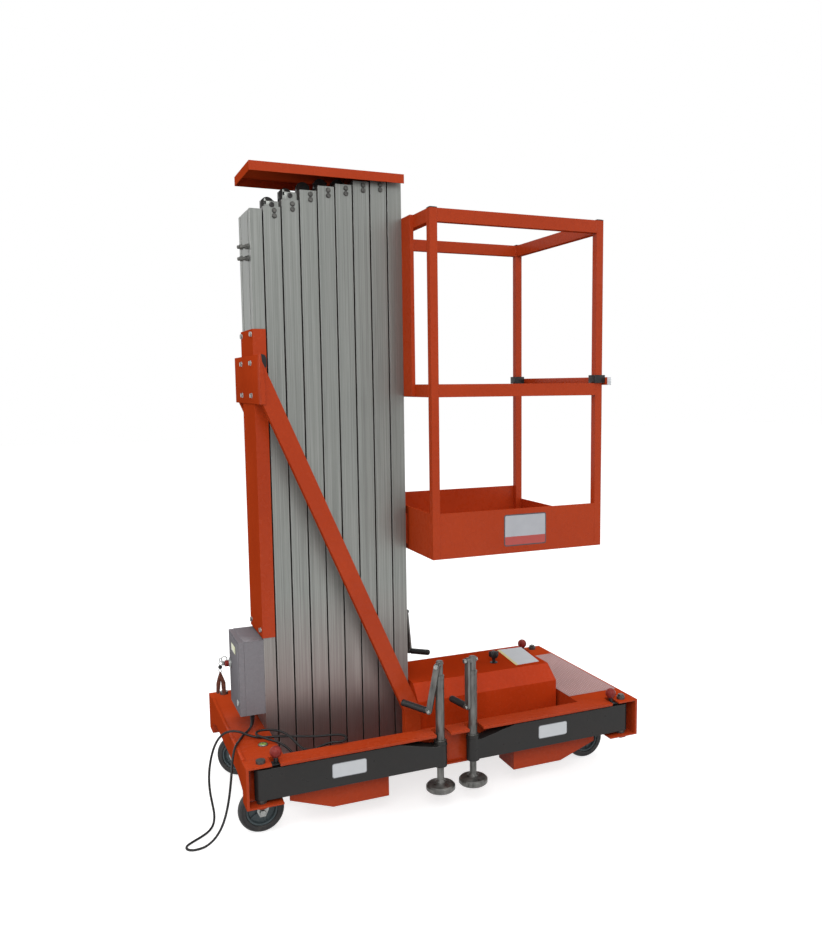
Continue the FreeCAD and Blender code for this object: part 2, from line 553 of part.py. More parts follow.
gland_at = (f"-{half_length} + gland_x", f"-{half_width} + gland_y")
gland_bore = rod("gland_bore", "z", (*gland_at, "box_bottom - 1"), "box_wall + 2", "cord_radius")
hollow_case = cut("case", case, [case_inside, gland_bore])
node(join("case_whole", [hollow_case] + case_hinges), "control_box")
door = block("door", (f"{case_left} - door_gap - door_depth", f"{case_left} - door_gap"),
             ("-box_half", "box_half"), ("box_bottom", "box_top"))
node(join("door_whole", [door] + door_hinges), "box_door")
gland = [rod("gland_body", "z", (*gland_at, "box_bottom - gland_length"), "gland_length",
             "gland_radius*0.75"),
         rod("gland_nut", "z", (*gland_at, "box_bottom - gland_length/2"), "gland_length/2",
             "gland_radius")]
node(join("gland", gland), "cord_gland")

# Power cover: a folded hood with sloping shoulders over the power unit, from the mast to the step

cover_low = f"({pan_top} + cross_height)"
cover_left = f"({mast_right} + cover_gap)"
cover_right = f"({half_length} - step_depth - cover_step_gap)"


def hood(name, wall):
    """The hood's outside, or its inside when wall is the sheet's thickness."""
    side, shoulder = f"cover_half - {wall}", f"cover_shoulder - {wall}/2"
    flat, top = f"cover_top_half - {wall}/2", f"cover_top - {wall}"
    left, right = f"({cover_left} + {wall})", f"({cover_right} - {wall})"
    across = [(f"-({side})", cover_low), (side, cover_low), (side, shoulder), (flat, top),
              (f"-({flat})", top), (f"-({side})", shoulder)]
    along = [(left, cover_low), (right, cover_low), (right, "cover_shoulder"),
             (f"{right} - cover_lean", "cover_top"), (left, "cover_top")]
    both = doc.addObject("Part::MultiCommon", name)
    both.Shapes = [plate(name + "_across", "YZ_Plane", across, left, right),
                   plate(name + "_along", "XZ_Plane", along, "-cover_half", "cover_half")]
    return both


node(cut("cover", hood("cover_outside", "0"), [hood("cover_inside", "cover_wall")]), "power_cover")
unit = block("unit", (f"{cover_left} + unit_margin", f"{cover_right} - unit_margin"),
             ("-unit_half", "unit_half"), (cover_low, "cover_top - unit_drop"))
node(unit, "power_unit")
knob_at = (f"{cover_right} - knob_back", "-knob_side")
knob = [rod("knob_stud", "z", (*knob_at, "cover_top"), "stud_height", "stud_radius"),
        rod("knob_grip", "z", (*knob_at, "cover_top + stud_height"), "knob_height", "knob_radius")]
node(join("knob", knob), "cover_knob")

# Lock pins: a ball knob on a pin through each slot beside a pivot, lifted clear of the arm

locks = []
for corner, u, v in CORNERS:
    lock_x, lock_y = f"{u}*({half_length} - lock_inset)", f"{v}*({half_width} - lock_side)"
    base = block(f"lock_plate_{corner}", (f"{lock_x} - lock_plate_half", f"{lock_x} + lock_plate_half"),
                 (f"{lock_y} - lock_plate_width/2", f"{lock_y} + lock_plate_width/2"),
                 ("deck_top", "deck_top + lock_plate"))
    pin = rod(f"lock_pin_{corner}", "z", (lock_x, lock_y, "lock_tip"), "ball_height - lock_tip",
              "lock_radius")
    ball = doc.addObject("Part::Sphere", f"lock_ball_{corner}")
    bind(ball, "Radius", "ball_radius")
    place(ball, lock_x, lock_y, "ball_height")
    locks.append(join(f"lock_{corner}", [base, pin, ball]))
node(join("locks", locks), "lock_pins")

# Outriggers: four tapered arms on pivot bolts, each with a screw jack in its end sleeve

pivots = []
# One row for each jack: how far its folded crank is turned about it, and how far it leans
CRANKS = {"left_near": (-45, 11), "right_near": (-80, 0), "left_far": (60, 4), "right_far": (120, 6)}
crank_back = "(jack_radius + crank_gap)"
crank_face = f"({crank_back} + crank_thick)"
pad_top = "pad_bottom + pad_rim + pad_dome"
pad_corners = [
    ("0", "pad_bottom"), ("pad_radius - pad_bevel", "pad_bottom"), ("pad_radius", "pad_bottom + pad_bevel"),
    ("pad_radius", "pad_bottom + pad_rim - pad_bevel"), ("pad_radius - pad_bevel", "pad_bottom + pad_rim"),
    ("collar_radius + pad_bevel", pad_top), ("collar_radius", f"{pad_top} + pad_bevel/2"),
    ("collar_radius", f"{pad_top} + collar_height"),
    ("leg_radius", f"{pad_top} + collar_height + pad_bevel"), ("leg_radius", "leg_top"), ("0", "leg_top")]


def folded_crank(corner, x, y):
    """A crank folded down beside its jack, with rounded ends, its pin and its grip."""
    half = "crank_width/2"
    bar = block(f"crank_bar_{corner}", (f"-{half}", half), (f"-{crank_face}", f"-{crank_back}"),
                ("-crank_arm", "0"))
    pieces = [bar]
    for end, z in (("top", "0"), ("low", "-crank_arm")):
        pieces.append(rod(f"crank_{end}_{corner}", "y", ("0", f"-{crank_face}", z), "crank_thick", half))
    pieces.append(rod(f"crank_boss_{corner}", "y", ("0", f"-{crank_back}", "0"), crank_back, half))
    pieces.append(rod(f"crank_pin_{corner}", "y", ("0", f"-{crank_face} - crank_bolt", "0"),
                      f"crank_bolt + {crank_face}", "crank_width/3"))
    grip_start = (f"-grip_length - {half}/2", f"-{crank_back} - crank_thick/2", "-crank_arm")
    pieces.append(rod(f"crank_grip_{corner}", "x", grip_start, "grip_length", "grip_radius"))
    crank = join(f"crank_{corner}", pieces)
    turn, lean = CRANKS[corner]
    crank.Placement = Placement(Vector(), Rotation(Vector(0, 0, 1), turn) * Rotation(Vector(0, 1, 0), lean))
    return place(crank, x, y, "crank_height")


for corner, u, v in CORNERS:
    pivot_x, pivot_y = f"({u}*({half_length} - pivot_inset))", f"({v}*({half_width} - pivot_side))"
    pivots.append(join(f"pivot_{corner}", [
        rod(f"pivot_pin_{corner}", "z", (pivot_x, pivot_y, "frame_low - boss_drop - pin_end"),
            "deck_top - frame_low + boss_drop + pin_end", "pin_radius - 0.05"),
        rod(f"pivot_spacer_{corner}", "z", (pivot_x, pivot_y, "frame_low + rail_web"),
            "arm_bottom - bore_gap - frame_low - rail_web", "spacer_radius"),
        rod(f"pivot_head_{corner}", "z", (pivot_x, pivot_y, "deck_top"), "bolt_height", "bolt_radius")]))
    along = f"{half_length} - pivot_inset - jack_side"
    out = [(f"{pivot_x} - {u}*({reach})", z) for reach, z in (
        ("0", "arm_bottom"), (along, "arm_bottom"), (along, "arm_end_top"),
        (f"{along} - sleeve_radius", "arm_end_top"), ("arm_taper", "arm_top"), ("0", "arm_top"))]
    jack_x = f"({u}*jack_side)"
    arm = join(f"arm_solid_{corner}", [
        plate(f"arm_tube_{corner}", "XZ_Plane", out, f"{pivot_y} - arm_half", f"{pivot_y} + arm_half"),
        rod(f"arm_nose_{corner}", "z", (pivot_x, pivot_y, "arm_bottom"), "arm_top - arm_bottom", "arm_half"),
        rod(f"arm_sleeve_{corner}", "z", (jack_x, pivot_y, "sleeve_low"), "sleeve_high - sleeve_low",
            "sleeve_radius")])
    bores = [rod(f"arm_bore_{corner}", "z", (pivot_x, pivot_y, f"arm_bottom - {OVER}"),
                 f"arm_top - arm_bottom + 2*{OVER}", "pin_radius + bore_gap"),
             rod(f"arm_jack_bore_{corner}", "z", (jack_x, pivot_y, f"sleeve_low - {OVER}"),
                 f"sleeve_high - sleeve_low + 2*{OVER}", "jack_radius + jack_gap")]
    node(cut(f"arm_{corner}", arm, bores), f"outrigger_{corner}")
    outer = join(f"jack_body_{corner}", [
        rod(f"jack_tube_{corner}", "z", (jack_x, pivot_y, "jack_low"), "jack_top - jack_low", "jack_radius"),
        rod(f"jack_head_{corner}", "z", (jack_x, pivot_y, "jack_top"), "head_top - jack_top", "head_radius"),
        rod(f"jack_ring_{corner}", "z", (jack_x, pivot_y, "sleeve_high"), "ring_height",
            "jack_radius + ring_width"),
        folded_crank(corner, jack_x, pivot_y)])
    bore = rod(f"jack_bore_{corner}", "z", (jack_x, pivot_y, "jack_low - 1"),
               "jack_top - jack_low - jack_crown", "jack_bore")
    node(cut(f"jack_{corner}", outer, [bore]), f"jack_{corner}")
    node(turned(f"leg_{corner}", pad_corners, "z", (jack_x, pivot_y, "0")), f"jack_leg_{corner}")
node(join("pivots", pivots), "arm_pivots")

# Basket: square-tube frame, kick plates, floor, back panel and the sliding bar of the entry

basket_left = f"({mast_right} + basket_gap)"
basket_right = f"({basket_left} + basket_length)"
post_x = {"left": (basket_left, f"{basket_left} + post"), "right": (f"{basket_right} - post", basket_right)}
inner_x = (f"{basket_left} + post", f"{basket_right} - post")
post_y = {side: span(v, "basket_half - post", "basket_half") for side, v in SIDES}
inner_y = ("-basket_half + post", "basket_half - post")
frame = [block(f"post_{end}_{side}", post_x[end], post_y[side], ("basket_bottom", "basket_top"))
         for end, u in ENDS for side, v in SIDES]
top_z = ("basket_top - rail_height", "basket_top")
middle_z = ("mid_rail - rail_height/2", "mid_rail + rail_height/2")
for level, z in (("top", top_z), ("mid", middle_z)):
    for side, v in SIDES:
        rail_y = span(v, "basket_half - rail_thick", "basket_half")
        frame.append(block(f"{level}_rail_{side}", inner_x, rail_y, z))
    frame.append(block(f"{level}_rail_left", (basket_left, f"{basket_left} + rail_thick"), inner_y, z))
frame.append(block("top_rail_right", (f"{basket_right} - rail_thick", basket_right), inner_y, top_z))
node(join("frame", frame), "basket_frame")

kick_z = ("basket_bottom", "basket_bottom + kick_height")
kicks = [block(f"kick_{side}", inner_x, span(v, "basket_half - kick_plate", "basket_half"), kick_z)
         for side, v in SIDES]
kicks.append(block("kick_left", (basket_left, f"{basket_left} + kick_plate"), inner_y, kick_z))
kicks.append(block("kick_right", (f"{basket_right} - kick_plate", basket_right), inner_y,
                   ("basket_bottom", "basket_bottom + entry_kick")))
node(join("kicks", kicks), "kick_plates")

inside_x = (f"{basket_left} + kick_plate", f"{basket_right} - kick_plate")
inside_y = ("-basket_half + kick_plate", "basket_half - kick_plate")
floor = block("floor_sheet", inside_x, inside_y,
              ("basket_bottom + rib_height", "basket_bottom + rib_height + floor_plate"))
floor_corners = [block(f"floor_corner_{end}_{side}", post_x[end], post_y[side],
                       ("basket_bottom - 1", "basket_bottom + floor_notch"))
                 for end, u in ENDS for side, v in SIDES]
RIB_SHARES = (0.25, 0.5, 0.75)
ribs = [block(f"floor_rib_{k}", (f"{basket_left} + {share}*basket_length - post/2",
                                 f"{basket_left} + {share}*basket_length + post/2"), inside_y,
              ("basket_bottom", "basket_bottom + rib_height")) for k, share in enumerate(RIB_SHARES)]
node(join("floor", [cut("floor_cut", floor, floor_corners)] + ribs), "basket_floor")

panel = block("panel_solid", (mast_right, basket_left), ("-panel_half", "panel_half"),
              ("panel_bottom", "basket_top"))
panel_inside = block("panel_inside", (f"{mast_right} + panel_wall", f"{basket_left} + 1"),
                     ("-panel_half + panel_wall", "panel_half - panel_wall"),
                     ("panel_bottom - 1", "basket_top - panel_wall"))
node(cut("panel", panel, [panel_inside]), "back_panel")
mounts = [block(f"mount_{side}", (mast_right, basket_left),
                span(v, "mount_half - mount_width", "mount_half"), ("mount_bottom", "mount_top"))
          for side, v in SIDES]
node(join("mount_pair", mounts), "basket_mounts")

gate_low = "(mid_rail + rail_height/2 + bore_gap)"
gate = []
for side, v in SIDES:
    hug_x = (f"{post_x['right'][0]} - gate_gap", f"{post_x['right'][1]} + gate_gap")
    hug_y = span(v, "basket_half - post - gate_gap", "basket_half + gate_gap")
    shell = block(f"gate_collar_{side}", (f"{hug_x[0]} - collar_wall", f"{hug_x[1]} + collar_wall"),
                  (f"{hug_y[0]} - collar_wall", f"{hug_y[1]} + collar_wall"),
                  (gate_low, f"{gate_low} + gate_bar"))
    hug = block(f"gate_collar_inside_{side}", hug_x, hug_y,
                (f"{gate_low} - 1", f"{gate_low} + gate_bar + 1"))
    gate.append(cut(f"gate_ring_{side}", shell, [hug]))
bar_left = f"({basket_right} + gate_gap + collar_wall)"
gate.append(block("gate_rod", (bar_left, f"{bar_left} + gate_bar_thick"),
                  ("-basket_half - gate_overhang", "basket_half + gate_overhang"),
                  (f"{gate_low} - gate_bar_drop", f"{gate_low} + gate_bar - gate_bar_drop")))
node(join("gate", gate), "gate_bar")

# Supply cord: out of the gland, over the left end to the floor and back, then into the well behind the rail

# The route's points are chosen by hand: (x, y, z) in the order the cord runs
CORD_ROUTE = (
    (-595, -65, 302), (-596, -66, 288), (-602, -71, 276), (-614, -82, 269), (-630, -99, 267),
    (-643, -124, 267), (-655, -152, 268), (-666, -182, 274), (-678, -212, 271), (-690, -240, 247),
    (-698, -264, 205), (-708, -272, 145), (-720, -266, 88), (-734, -253, 46), (-752, -245, 18),
    (-775, -248, 5), (-799, -253, 4), (-818, -250, 4), (-830, -236, 4), (-826, -217, 4),
    (-808, -202, 4), (-780, -182, 4), (-754, -158, 4), (-736, -133, 10), (-729, -112, 30),
    (-733, -102, 62), (-739, -98, 104), (-740, -98, 152), (-734, -98, 198), (-723, -98, 238),
    (-709, -100, 266), (-690, -103, 284), (-667, -109, 289), (-644, -119, 286), (-621, -130, 275),
    (-596, -141, 267), (-563, -154, 268), (-520, -172, 270), (-470, -189, 267), (-426, -205, 265),
    (-394, -219, 268), (-366, -232, 271), (-347, -252, 272), (-350, -278, 270), (-372, -292, 270),
    (-398, -284, 272), (-424, -268, 260), (-450, -256, 246), (-476, -240, 245), (-492, -216, 260),
    (-506, -193, 276), (-522, -174, 284), (-540, -157, 287), (-560, -142, 287), (-582, -135, 286),
    (-600, -146, 287), (-602, -167, 285), (-584, -182, 280), (-562, -194, 272), (-540, -208, 266),
    (-520, -224, 252), (-502, -240, 230), (-482, -250, 202), (-454, -257, 176), (-420, -257, 162),
    (-384, -252, 159), (-352, -252, 159),
)
PLUG_END = CORD_ROUTE[-1]
ARC_SHARE = 0.45


def rounded_path(points):
    """Straight runs joined by tangent arcs, each as large as its two runs allow."""
    corner = [Vector(*point) for point in points]
    edges = []
    radii = []
    at = corner[0]
    for before, here, after in zip(corner, corner[1:], corner[2:]):
        arriving, leaving = here - before, after - here
        turn = arriving.getAngle(leaving)
        reach = ARC_SHARE * min(arriving.Length, leaving.Length)
        radii.append(reach / math.tan(turn / 2))
        start = here - Vector(arriving).normalize() * reach
        finish = here + Vector(leaving).normalize() * reach
        bulge = (start + finish) / 2 - here
        middle = here + Vector(bulge).normalize() * (math.hypot(radii[-1], reach) - radii[-1])
        edges.append(Part.LineSegment(at, start).toShape())
        edges.append(Part.Arc(start, middle, finish).toShape())
        at = finish
    edges.append(Part.LineSegment(at, corner[-1]).toShape())
    return Part.Wire(edges), radii


path, radii = rounded_path(CORD_ROUTE)
first_way = Vector(*CORD_ROUTE[1]) - Vector(*CORD_ROUTE[0])
ring = Part.Wire(Part.makeCircle(size["cord_radius"], Vector(*CORD_ROUTE[0]), first_way))
cord = doc.addObject("Part::Feature", "cord")
cord.Shape = path.makePipeShell([ring], True, False)
node(cord, "supply_cord")
full_volume = math.pi * size["cord_radius"] ** 2 * path.Length
print(f"cord: {path.Length:.0f} mm long, {cord.Shape.Volume / full_volume:.4f} of section times length")
print("cord radii, in diameters:", " ".join(f"{r / (2 * size['cord_radius']):.1f}" for r in radii))

plug_x, plug_y, plug_z = (str(number) for number in PLUG_END)
plug = [rod("plug_body", "x", (plug_x, plug_y, plug_z), "plug_length", "plug_radius")]
for side, v in SIDES:
    blade_start = (f"{plug_x} + plug_length", f"{plug_y} + {v}*plug_radius/2", plug_z)
    plug.append(rod(f"plug_blade_{side}", "x", blade_start, "plug_blade", "plug_radius/7"))
node(join("plug", plug), "cord_plug")

# Check every object, then write one file for each sub-part

doc.recompute()
faults = [f"{item.Name}: {', '.join(item.State)}" for item in doc.Objects
          if "Invalid" in item.State or "Error" in item.State]
for piece in nodes:
    if piece.Shape.isNull() or not piece.Shape.isValid() or piece.Shape.Volume <= 0:
        faults.append(f"{piece.Label}: bad shape")
labels = [piece.Label for piece in nodes]
if len(set(labels)) != len(labels):
    faults.append("two sub-parts share a label")
if faults:
    raise RuntimeError("; ".join(faults))
os.makedirs("parts", exist_ok=True)
for piece in nodes:
    piece.Shape.exportStep(f"parts/{piece.Label}.step")
print(f"{len(nodes)} sub-parts, {sum(piece.Shape.Volume for piece in nodes) / 1e9:.4f} m3 of solid")
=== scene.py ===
from math import cos, pi, radians, sin, sqrt

import bmesh
import bpy
from mathutils import Matrix, Vector


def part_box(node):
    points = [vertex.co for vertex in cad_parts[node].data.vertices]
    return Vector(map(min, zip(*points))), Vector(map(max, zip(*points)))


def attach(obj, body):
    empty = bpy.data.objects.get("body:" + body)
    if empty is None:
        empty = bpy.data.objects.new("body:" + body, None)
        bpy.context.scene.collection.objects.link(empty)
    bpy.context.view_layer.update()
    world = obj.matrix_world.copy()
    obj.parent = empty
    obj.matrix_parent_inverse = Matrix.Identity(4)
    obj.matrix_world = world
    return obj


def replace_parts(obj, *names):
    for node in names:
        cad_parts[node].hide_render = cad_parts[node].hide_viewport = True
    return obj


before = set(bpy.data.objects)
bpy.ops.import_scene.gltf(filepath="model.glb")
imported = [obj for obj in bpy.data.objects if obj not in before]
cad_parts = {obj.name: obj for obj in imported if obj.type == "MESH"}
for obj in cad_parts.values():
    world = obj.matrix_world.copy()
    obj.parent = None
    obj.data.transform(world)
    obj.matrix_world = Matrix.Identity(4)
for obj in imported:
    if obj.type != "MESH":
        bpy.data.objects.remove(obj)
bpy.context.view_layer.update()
scene = bpy.context.scene

# Camera
# The photograph is taken from the near left at about a standing person's eye height, with the lens
# pointing slightly down. The frame is a crop, so its middle lies a little beside the lens's own axis.

CAMERA_PLACE = (-1.0897, -2.8117, 1.35)
CAMERA_TURN, CAMERA_DOWN, CAMERA_ROLL = (radians(angle) for angle in (23.99, 6.4, -0.45))
LENS_MM, SENSOR_MM = 34.35, 36
SHIFT_PIXELS, PHOTO_HEIGHT = (-49.2, 19), 929

lens = bpy.data.cameras.new("camera")
lens.lens, lens.sensor_width = LENS_MM, SENSOR_MM
lens.shift_x, lens.shift_y = (pixels / PHOTO_HEIGHT for pixels in SHIFT_PIXELS)
camera = bpy.data.objects.new("camera", lens)
camera.matrix_world = (Matrix.Translation(CAMERA_PLACE) @ Matrix.Rotation(-CAMERA_TURN, 4, "Z")
                       @ Matrix.Rotation(pi / 2 - CAMERA_DOWN, 4, "X") @ Matrix.Rotation(CAMERA_ROLL, 4, "Z"))
scene.collection.objects.link(camera)
scene.camera = camera

# Supply cord
# A round rubber mains lead, 7.2 mm thick. It leaves the control box through a gland, drops over the end
# of the deck to the floor, and comes back in loose loops to its plug behind the near rail.

CORD_ROUTE = [tuple(mm / 1000 for mm in point) for point in (
    (-595, -65, 302), (-596, -66, 288), (-602, -71, 276), (-614, -82, 269), (-630, -99, 267), (-643, -124, 267),
    (-655, -152, 268), (-666, -182, 274), (-678, -212, 271), (-690, -240, 247), (-698, -264, 205),
    (-708, -272, 145), (-720, -266, 88), (-734, -253, 46), (-752, -245, 18), (-775, -248, 5), (-799, -253, 4),
    (-818, -250, 4), (-830, -236, 4), (-826, -217, 4), (-808, -202, 4), (-780, -182, 4), (-754, -158, 4),
    (-736, -133, 10), (-729, -112, 30), (-733, -102, 62), (-739, -98, 104), (-740, -98, 152), (-734, -98, 198),
    (-723, -98, 238), (-709, -100, 266), (-690, -103, 284), (-667, -109, 289), (-644, -119, 286),
    (-621, -130, 275), (-596, -141, 267), (-563, -154, 268), (-520, -172, 270), (-470, -189, 267),
    (-426, -205, 265), (-394, -219, 268), (-366, -232, 271), (-347, -252, 272), (-350, -278, 270),
    (-372, -292, 270), (-398, -284, 272), (-424, -268, 260), (-450, -256, 246), (-476, -240, 245),
    (-492, -216, 260), (-506, -193, 276), (-522, -174, 284), (-540, -157, 287), (-560, -142, 287),
    (-582, -135, 286), (-600, -146, 287), (-602, -167, 285), (-584, -182, 280), (-562, -194, 272),
    (-540, -208, 266), (-520, -224, 252), (-502, -240, 230), (-482, -250, 202), (-454, -257, 176),
    (-420, -257, 162), (-384, -252, 159), (-352, -252, 159),
)]
CORD_RADIUS = 0.0036


def add(tree, kind, values=(), **properties):
    """Adds a node and sets its inputs, each to a value or wired to another node's output."""
    node = tree.nodes.new("ShaderNode" + kind)
    for name, value in properties.items():
        setattr(node, name, value)
    for name, value in dict(values).items():
        if isinstance(value, bpy.types.NodeSocket):
            tree.links.new(value, node.inputs[name])
        else:
            node.inputs[name].default_value = value
    return node


def new_material(name, **values):
    """A material, its tree, and its Principled shader with the plain values set."""
    material = bpy.data.materials.new(name)
    material.use_nodes = True
    shader = material.node_tree.nodes["Principled BSDF"]
    for label, value in values.items():
        shader.inputs[label.replace("_", " ")].default_value = value
    return material, material.node_tree, shader


def own_place(tree, *stretch):
    """A point's place on its piece in metres, which rides with the piece, stretched along each axis."""
    place = add(tree, "TexCoord").outputs["Object"]
    return add(tree, "Mapping", {"Vector": place, "Scale": stretch}).outputs["Vector"] if stretch else place


def parts_of_place(tree):
    """A point's place on its piece as three separate values."""
    return add(tree, "SeparateXYZ", {"Vector": own_place(tree)}).outputs


def noise(tree, size, detail=2, stretch=()):
    """Soft noise over a piece; a larger size number makes it finer."""
    values = {"Vector": own_place(tree, *stretch), "Scale": size, "Detail": detail}
    return add(tree, "TexNoise", values).outputs["Fac"]


def tinted(tree, fac, low, high):
    """A colour between two, each plain or wired, by how far a value lies between 0 and 1."""
    low, high = (end if isinstance(end, bpy.types.NodeSocket) else (*end, 1) for end in (low, high))
    return add(tree, "Mix", {"Factor": fac, "A": low, "B": high}, data_type="RGBA").outputs["Result"]


def band(tree, value, low, high, start=0, end=1):
    """Spreads a value from low to high over start to end, and holds it outside them."""
    return add(tree, "MapRange", {"Value": value, "From Min": low, "From Max": high,
                                  "To Min": start, "To Max": end}).outputs["Result"]


def maths(tree, operation, first, second):
    """One operation on two values."""
    return add(tree, "Math", {0: first, 1: second}, operation=operation).outputs[0]


def bumped(tree, height, distance, strength=1):
    """The surface's direction with a fine relief on it."""
    return add(tree, "Bump", {"Height": height, "Distance": distance, "Strength": strength}).outputs["Normal"]


def wire(node, **sources):
    """Wires values into a node's inputs, where an underscore stands for a space."""
    for label, source in sources.items():
        node.id_data.links.new(source, node.inputs[label.replace("_", " ")])


def mottled(name, size, detail, low, high, spread=(0, 1), rough=None, rough_spread=(0.3, 0.7), relief=None,
            **values):
    """A finish whose colour, roughness and relief follow one noise, or the relief a noise of its own size."""
    material, tree, shader = new_material(name, **values)
    tone = noise(tree, size, detail)
    wire(shader, Base_Color=tinted(tree, band(tree, tone, *spread), low, high))
    if rough:
        wire(shader, Roughness=band(tree, tone, *rough_spread, *rough))
    if relief:
        distance, strength, *own_size = relief
        wire(shader, Normal=bumped(tree, noise(tree, *own_size) if own_size else tone, distance, strength))
    return material


rubber = mottled("cord_rubber_finish", 90, 4, (0.005, 0.005, 0.0055), (0.013, 0.0125, 0.0125),
                 rough=(0.38, 0.56), relief=(0.0002, 0.3, 900), Specular_IOR_Level=0.28)


def cord_curve(name, bevel):
    """The route as one smooth NURBS spline."""
    curve = bpy.data.curves.new(name, "CURVE")
    curve.dimensions = "3D"
    curve.resolution_u = 12
    spline = curve.splines.new("NURBS")
    spline.points.add(len(CORD_ROUTE) - 1)
    for point, place in zip(spline.points, CORD_ROUTE):
        point.co = (*place, 1)
    spline.order_u = 3
    spline.use_endpoint_u = True
    curve.bevel_depth = bevel
    curve.bevel_resolution = 5
    curve.use_fill_caps = bevel > 0
    piece = bpy.data.objects.new(name, curve)
    scene.collection.objects.link(piece)
    return piece


cord = cord_curve("supply_cord_lead", CORD_RADIUS)
cord.data.materials.append(rubber)
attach(cord, "base")
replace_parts(cord, "supply_cord")

guide = cord_curve("route_line", 0)
line_mesh = bpy.data.meshes.new_from_object(guide)
cord_line = [vert.co.copy() for vert in line_mesh.vertices]
bpy.data.objects.remove(guide)

# Cord gland, strain relief and plug
# A black plastic gland screwed into the floor of the control box, with a ribbed rubber sleeve that tapers
# along the lead's first few centimetres. The far end goes into the moulded rubber body of its plug.


def facing(at, along=(0, 0, 1), turn=0):
    """A matrix at a point whose Z axis runs along a direction."""
    return (Matrix.Translation(at) @ Vector(along).to_track_quat("Z", "Y").to_matrix().to_4x4()
            @ Matrix.Rotation(turn, 4, "Z"))


def angles(steps):
    """Even steps round one full turn."""
    return [2 * pi * k / steps for k in range(steps)]


def ring_of(bm, place, radius, height, steps):
    """A ring of points about a matrix's own Z axis, its radius plain or by angle; radius 0 is one point."""
    reach = radius if callable(radius) else lambda a: radius
    return [bm.verts.new(place @ Vector((reach(a) * cos(a), reach(a) * sin(a), height)))
            for a in (angles(steps) if radius else (0,))]


def skin(bm, rings, closed=False):
    """Faces from each ring to the next, and over the first and last ring if closed."""
    for low, high in zip(rings, rings[1:]):
        for k in range(max(len(low), len(high))):
            corners = [ring[j % len(ring)] for ring, j in ((low, k), (low, k + 1), (high, k + 1), (high, k))]
            bm.faces.new(list(dict.fromkeys(corners)))
    for ring in (rings[0], rings[-1]) if closed else ():
        bm.faces.new(ring)


def sleeve_along(bm, points, radii, steps=20):
    """A closed round sleeve whose radius changes from point to point along a line."""
    spans = zip(points[:1] + points[:-1], points, points[1:] + points[-1:], radii)
    rings = [ring_of(bm, facing(point, after - before), radius, 0, steps)
             for before, point, after, radius in spans]
    skin(bm, [[bm.verts.new(points[0])], *rings, [bm.verts.new(points[-1])]])


def lathe(bm, profile, place, steps=32):
    """Turns (radius, height) points, in millimetres, about a matrix's own Z axis; radius 0 closes an end."""
    skin(bm, [ring_of(bm, place, radius / 1000, height / 1000, steps) for radius, height in profile])


def build(name, bm, material, body="base", sharp=35):
    """Turns the mesh being drawn into a named piece that rides on a body, and empties it for the next."""
    bmesh.ops.recalc_face_normals(bm, faces=bm.faces)
    mesh = bpy.data.meshes.new(name)
    bm.to_mesh(mesh)
    bm.clear()
    mesh.materials.append(material)
    mesh.shade_smooth()
    mesh.set_sharp_from_angle(angle=radians(sharp))
    piece = bpy.data.objects.new(name, mesh)
    scene.collection.objects.link(piece)
    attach(piece, body)
    return piece


def slab(bm, low, high, rounding=0.001, place=None, segments=2):
    """A block between two opposite corners with its edges rounded."""
    low, high = (Vector(tuple(map(pick, low, high))) for pick in (min, max))
    shape = Matrix.Translation((low + high) / 2) @ Matrix.Diagonal((*(high - low), 1))
    made = bmesh.ops.create_cube(bm, size=1, matrix=(place or Matrix()) @ shape)
    edges = list({edge for vert in made["verts"] for edge in vert.link_edges})
    if rounding:
        bmesh.ops.bevel(bm, geom=edges, offset=rounding, segments=segments, profile=0.5, affect="EDGES")


plastic = mottled("black_plastic_finish", 260, 3, (0.007, 0.007, 0.0075), (0.018, 0.018, 0.0185),
                  rough=(0.4, 0.55), rough_spread=(0.35, 0.65), relief=(0.0003, 0.35), Specular_IOR_Level=0.28)

RELIEF_LENGTH = 0.026
bm = bmesh.new()
lathe(bm, [(3.8, 0), (6.8, 0), (7.2, 2), (7.2, 8), (6.2, 9), (6.2, 17), (3.8, 17)], facing(CORD_ROUTE[0]), 24)
lathe(bm, [(5, 8.5), (9.2, 9.2), (9.8, 10.2), (9.8, 17), (9.2, 17.8), (5, 17.8)], facing(CORD_ROUTE[0]), 6)
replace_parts(build("cord_gland_nut", bm, plastic), "cord_gland")

travelled, points, radii = 0, [], []
for k, point in enumerate(cord_line):
    travelled += (point - cord_line[k - 1]).length if k else 0
    if travelled > RELIEF_LENGTH:
        break
    share = travelled / RELIEF_LENGTH
    points.append(point)
    radii.append(0.0066 - 0.0024 * share + (0.0004 if k % 2 else 0))
sleeve_along(bm, points, radii)
relief = build("cord_relief", bm, rubber, sharp=50)

PLUG_MM = 46
lathe(bm, [(0, -1), (4.5, -1), (6, 3), (6.8, 6), (6.2, 8), (8, 11), (7.4, 13), (9.8, 16), (15, 21), (16.5, 26),
           (16.8, 40), (15.8, 45.2), (14.5, PLUG_MM), (0, PLUG_MM)], facing(CORD_ROUTE[-1], (1, 0, 0)), 32)
plug = build("cord_plug_body", bm, rubber, sharp=40)
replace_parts(plug, "cord_plug")

# Base frame
# Two pressed steel channels welded between arched end plates, with folded decks, a floor pan, closed
# skid boxes and wheel seats. All of it is sprayed in one gloss orange, a little dusty on its upper faces.
# A small round spirit level lies on the deck.


def effect(name, inputs, outputs):
    """An empty shader node group with its named inputs and outputs."""
    group = bpy.data.node_groups.new(name, "ShaderNodeTree")
    for label, value in inputs.items():
        kind = "Color" if isinstance(value, tuple) else "Float"
        socket = group.interface.new_socket(name=label, in_out="INPUT", socket_type="NodeSocket" + kind)
        socket.default_value = value
    for label, kind in outputs.items():
        group.interface.new_socket(name=label, in_out="OUTPUT", socket_type="NodeSocket" + kind)
    return group, group.nodes.new("NodeGroupInput").outputs, group.nodes.new("NodeGroupOutput")


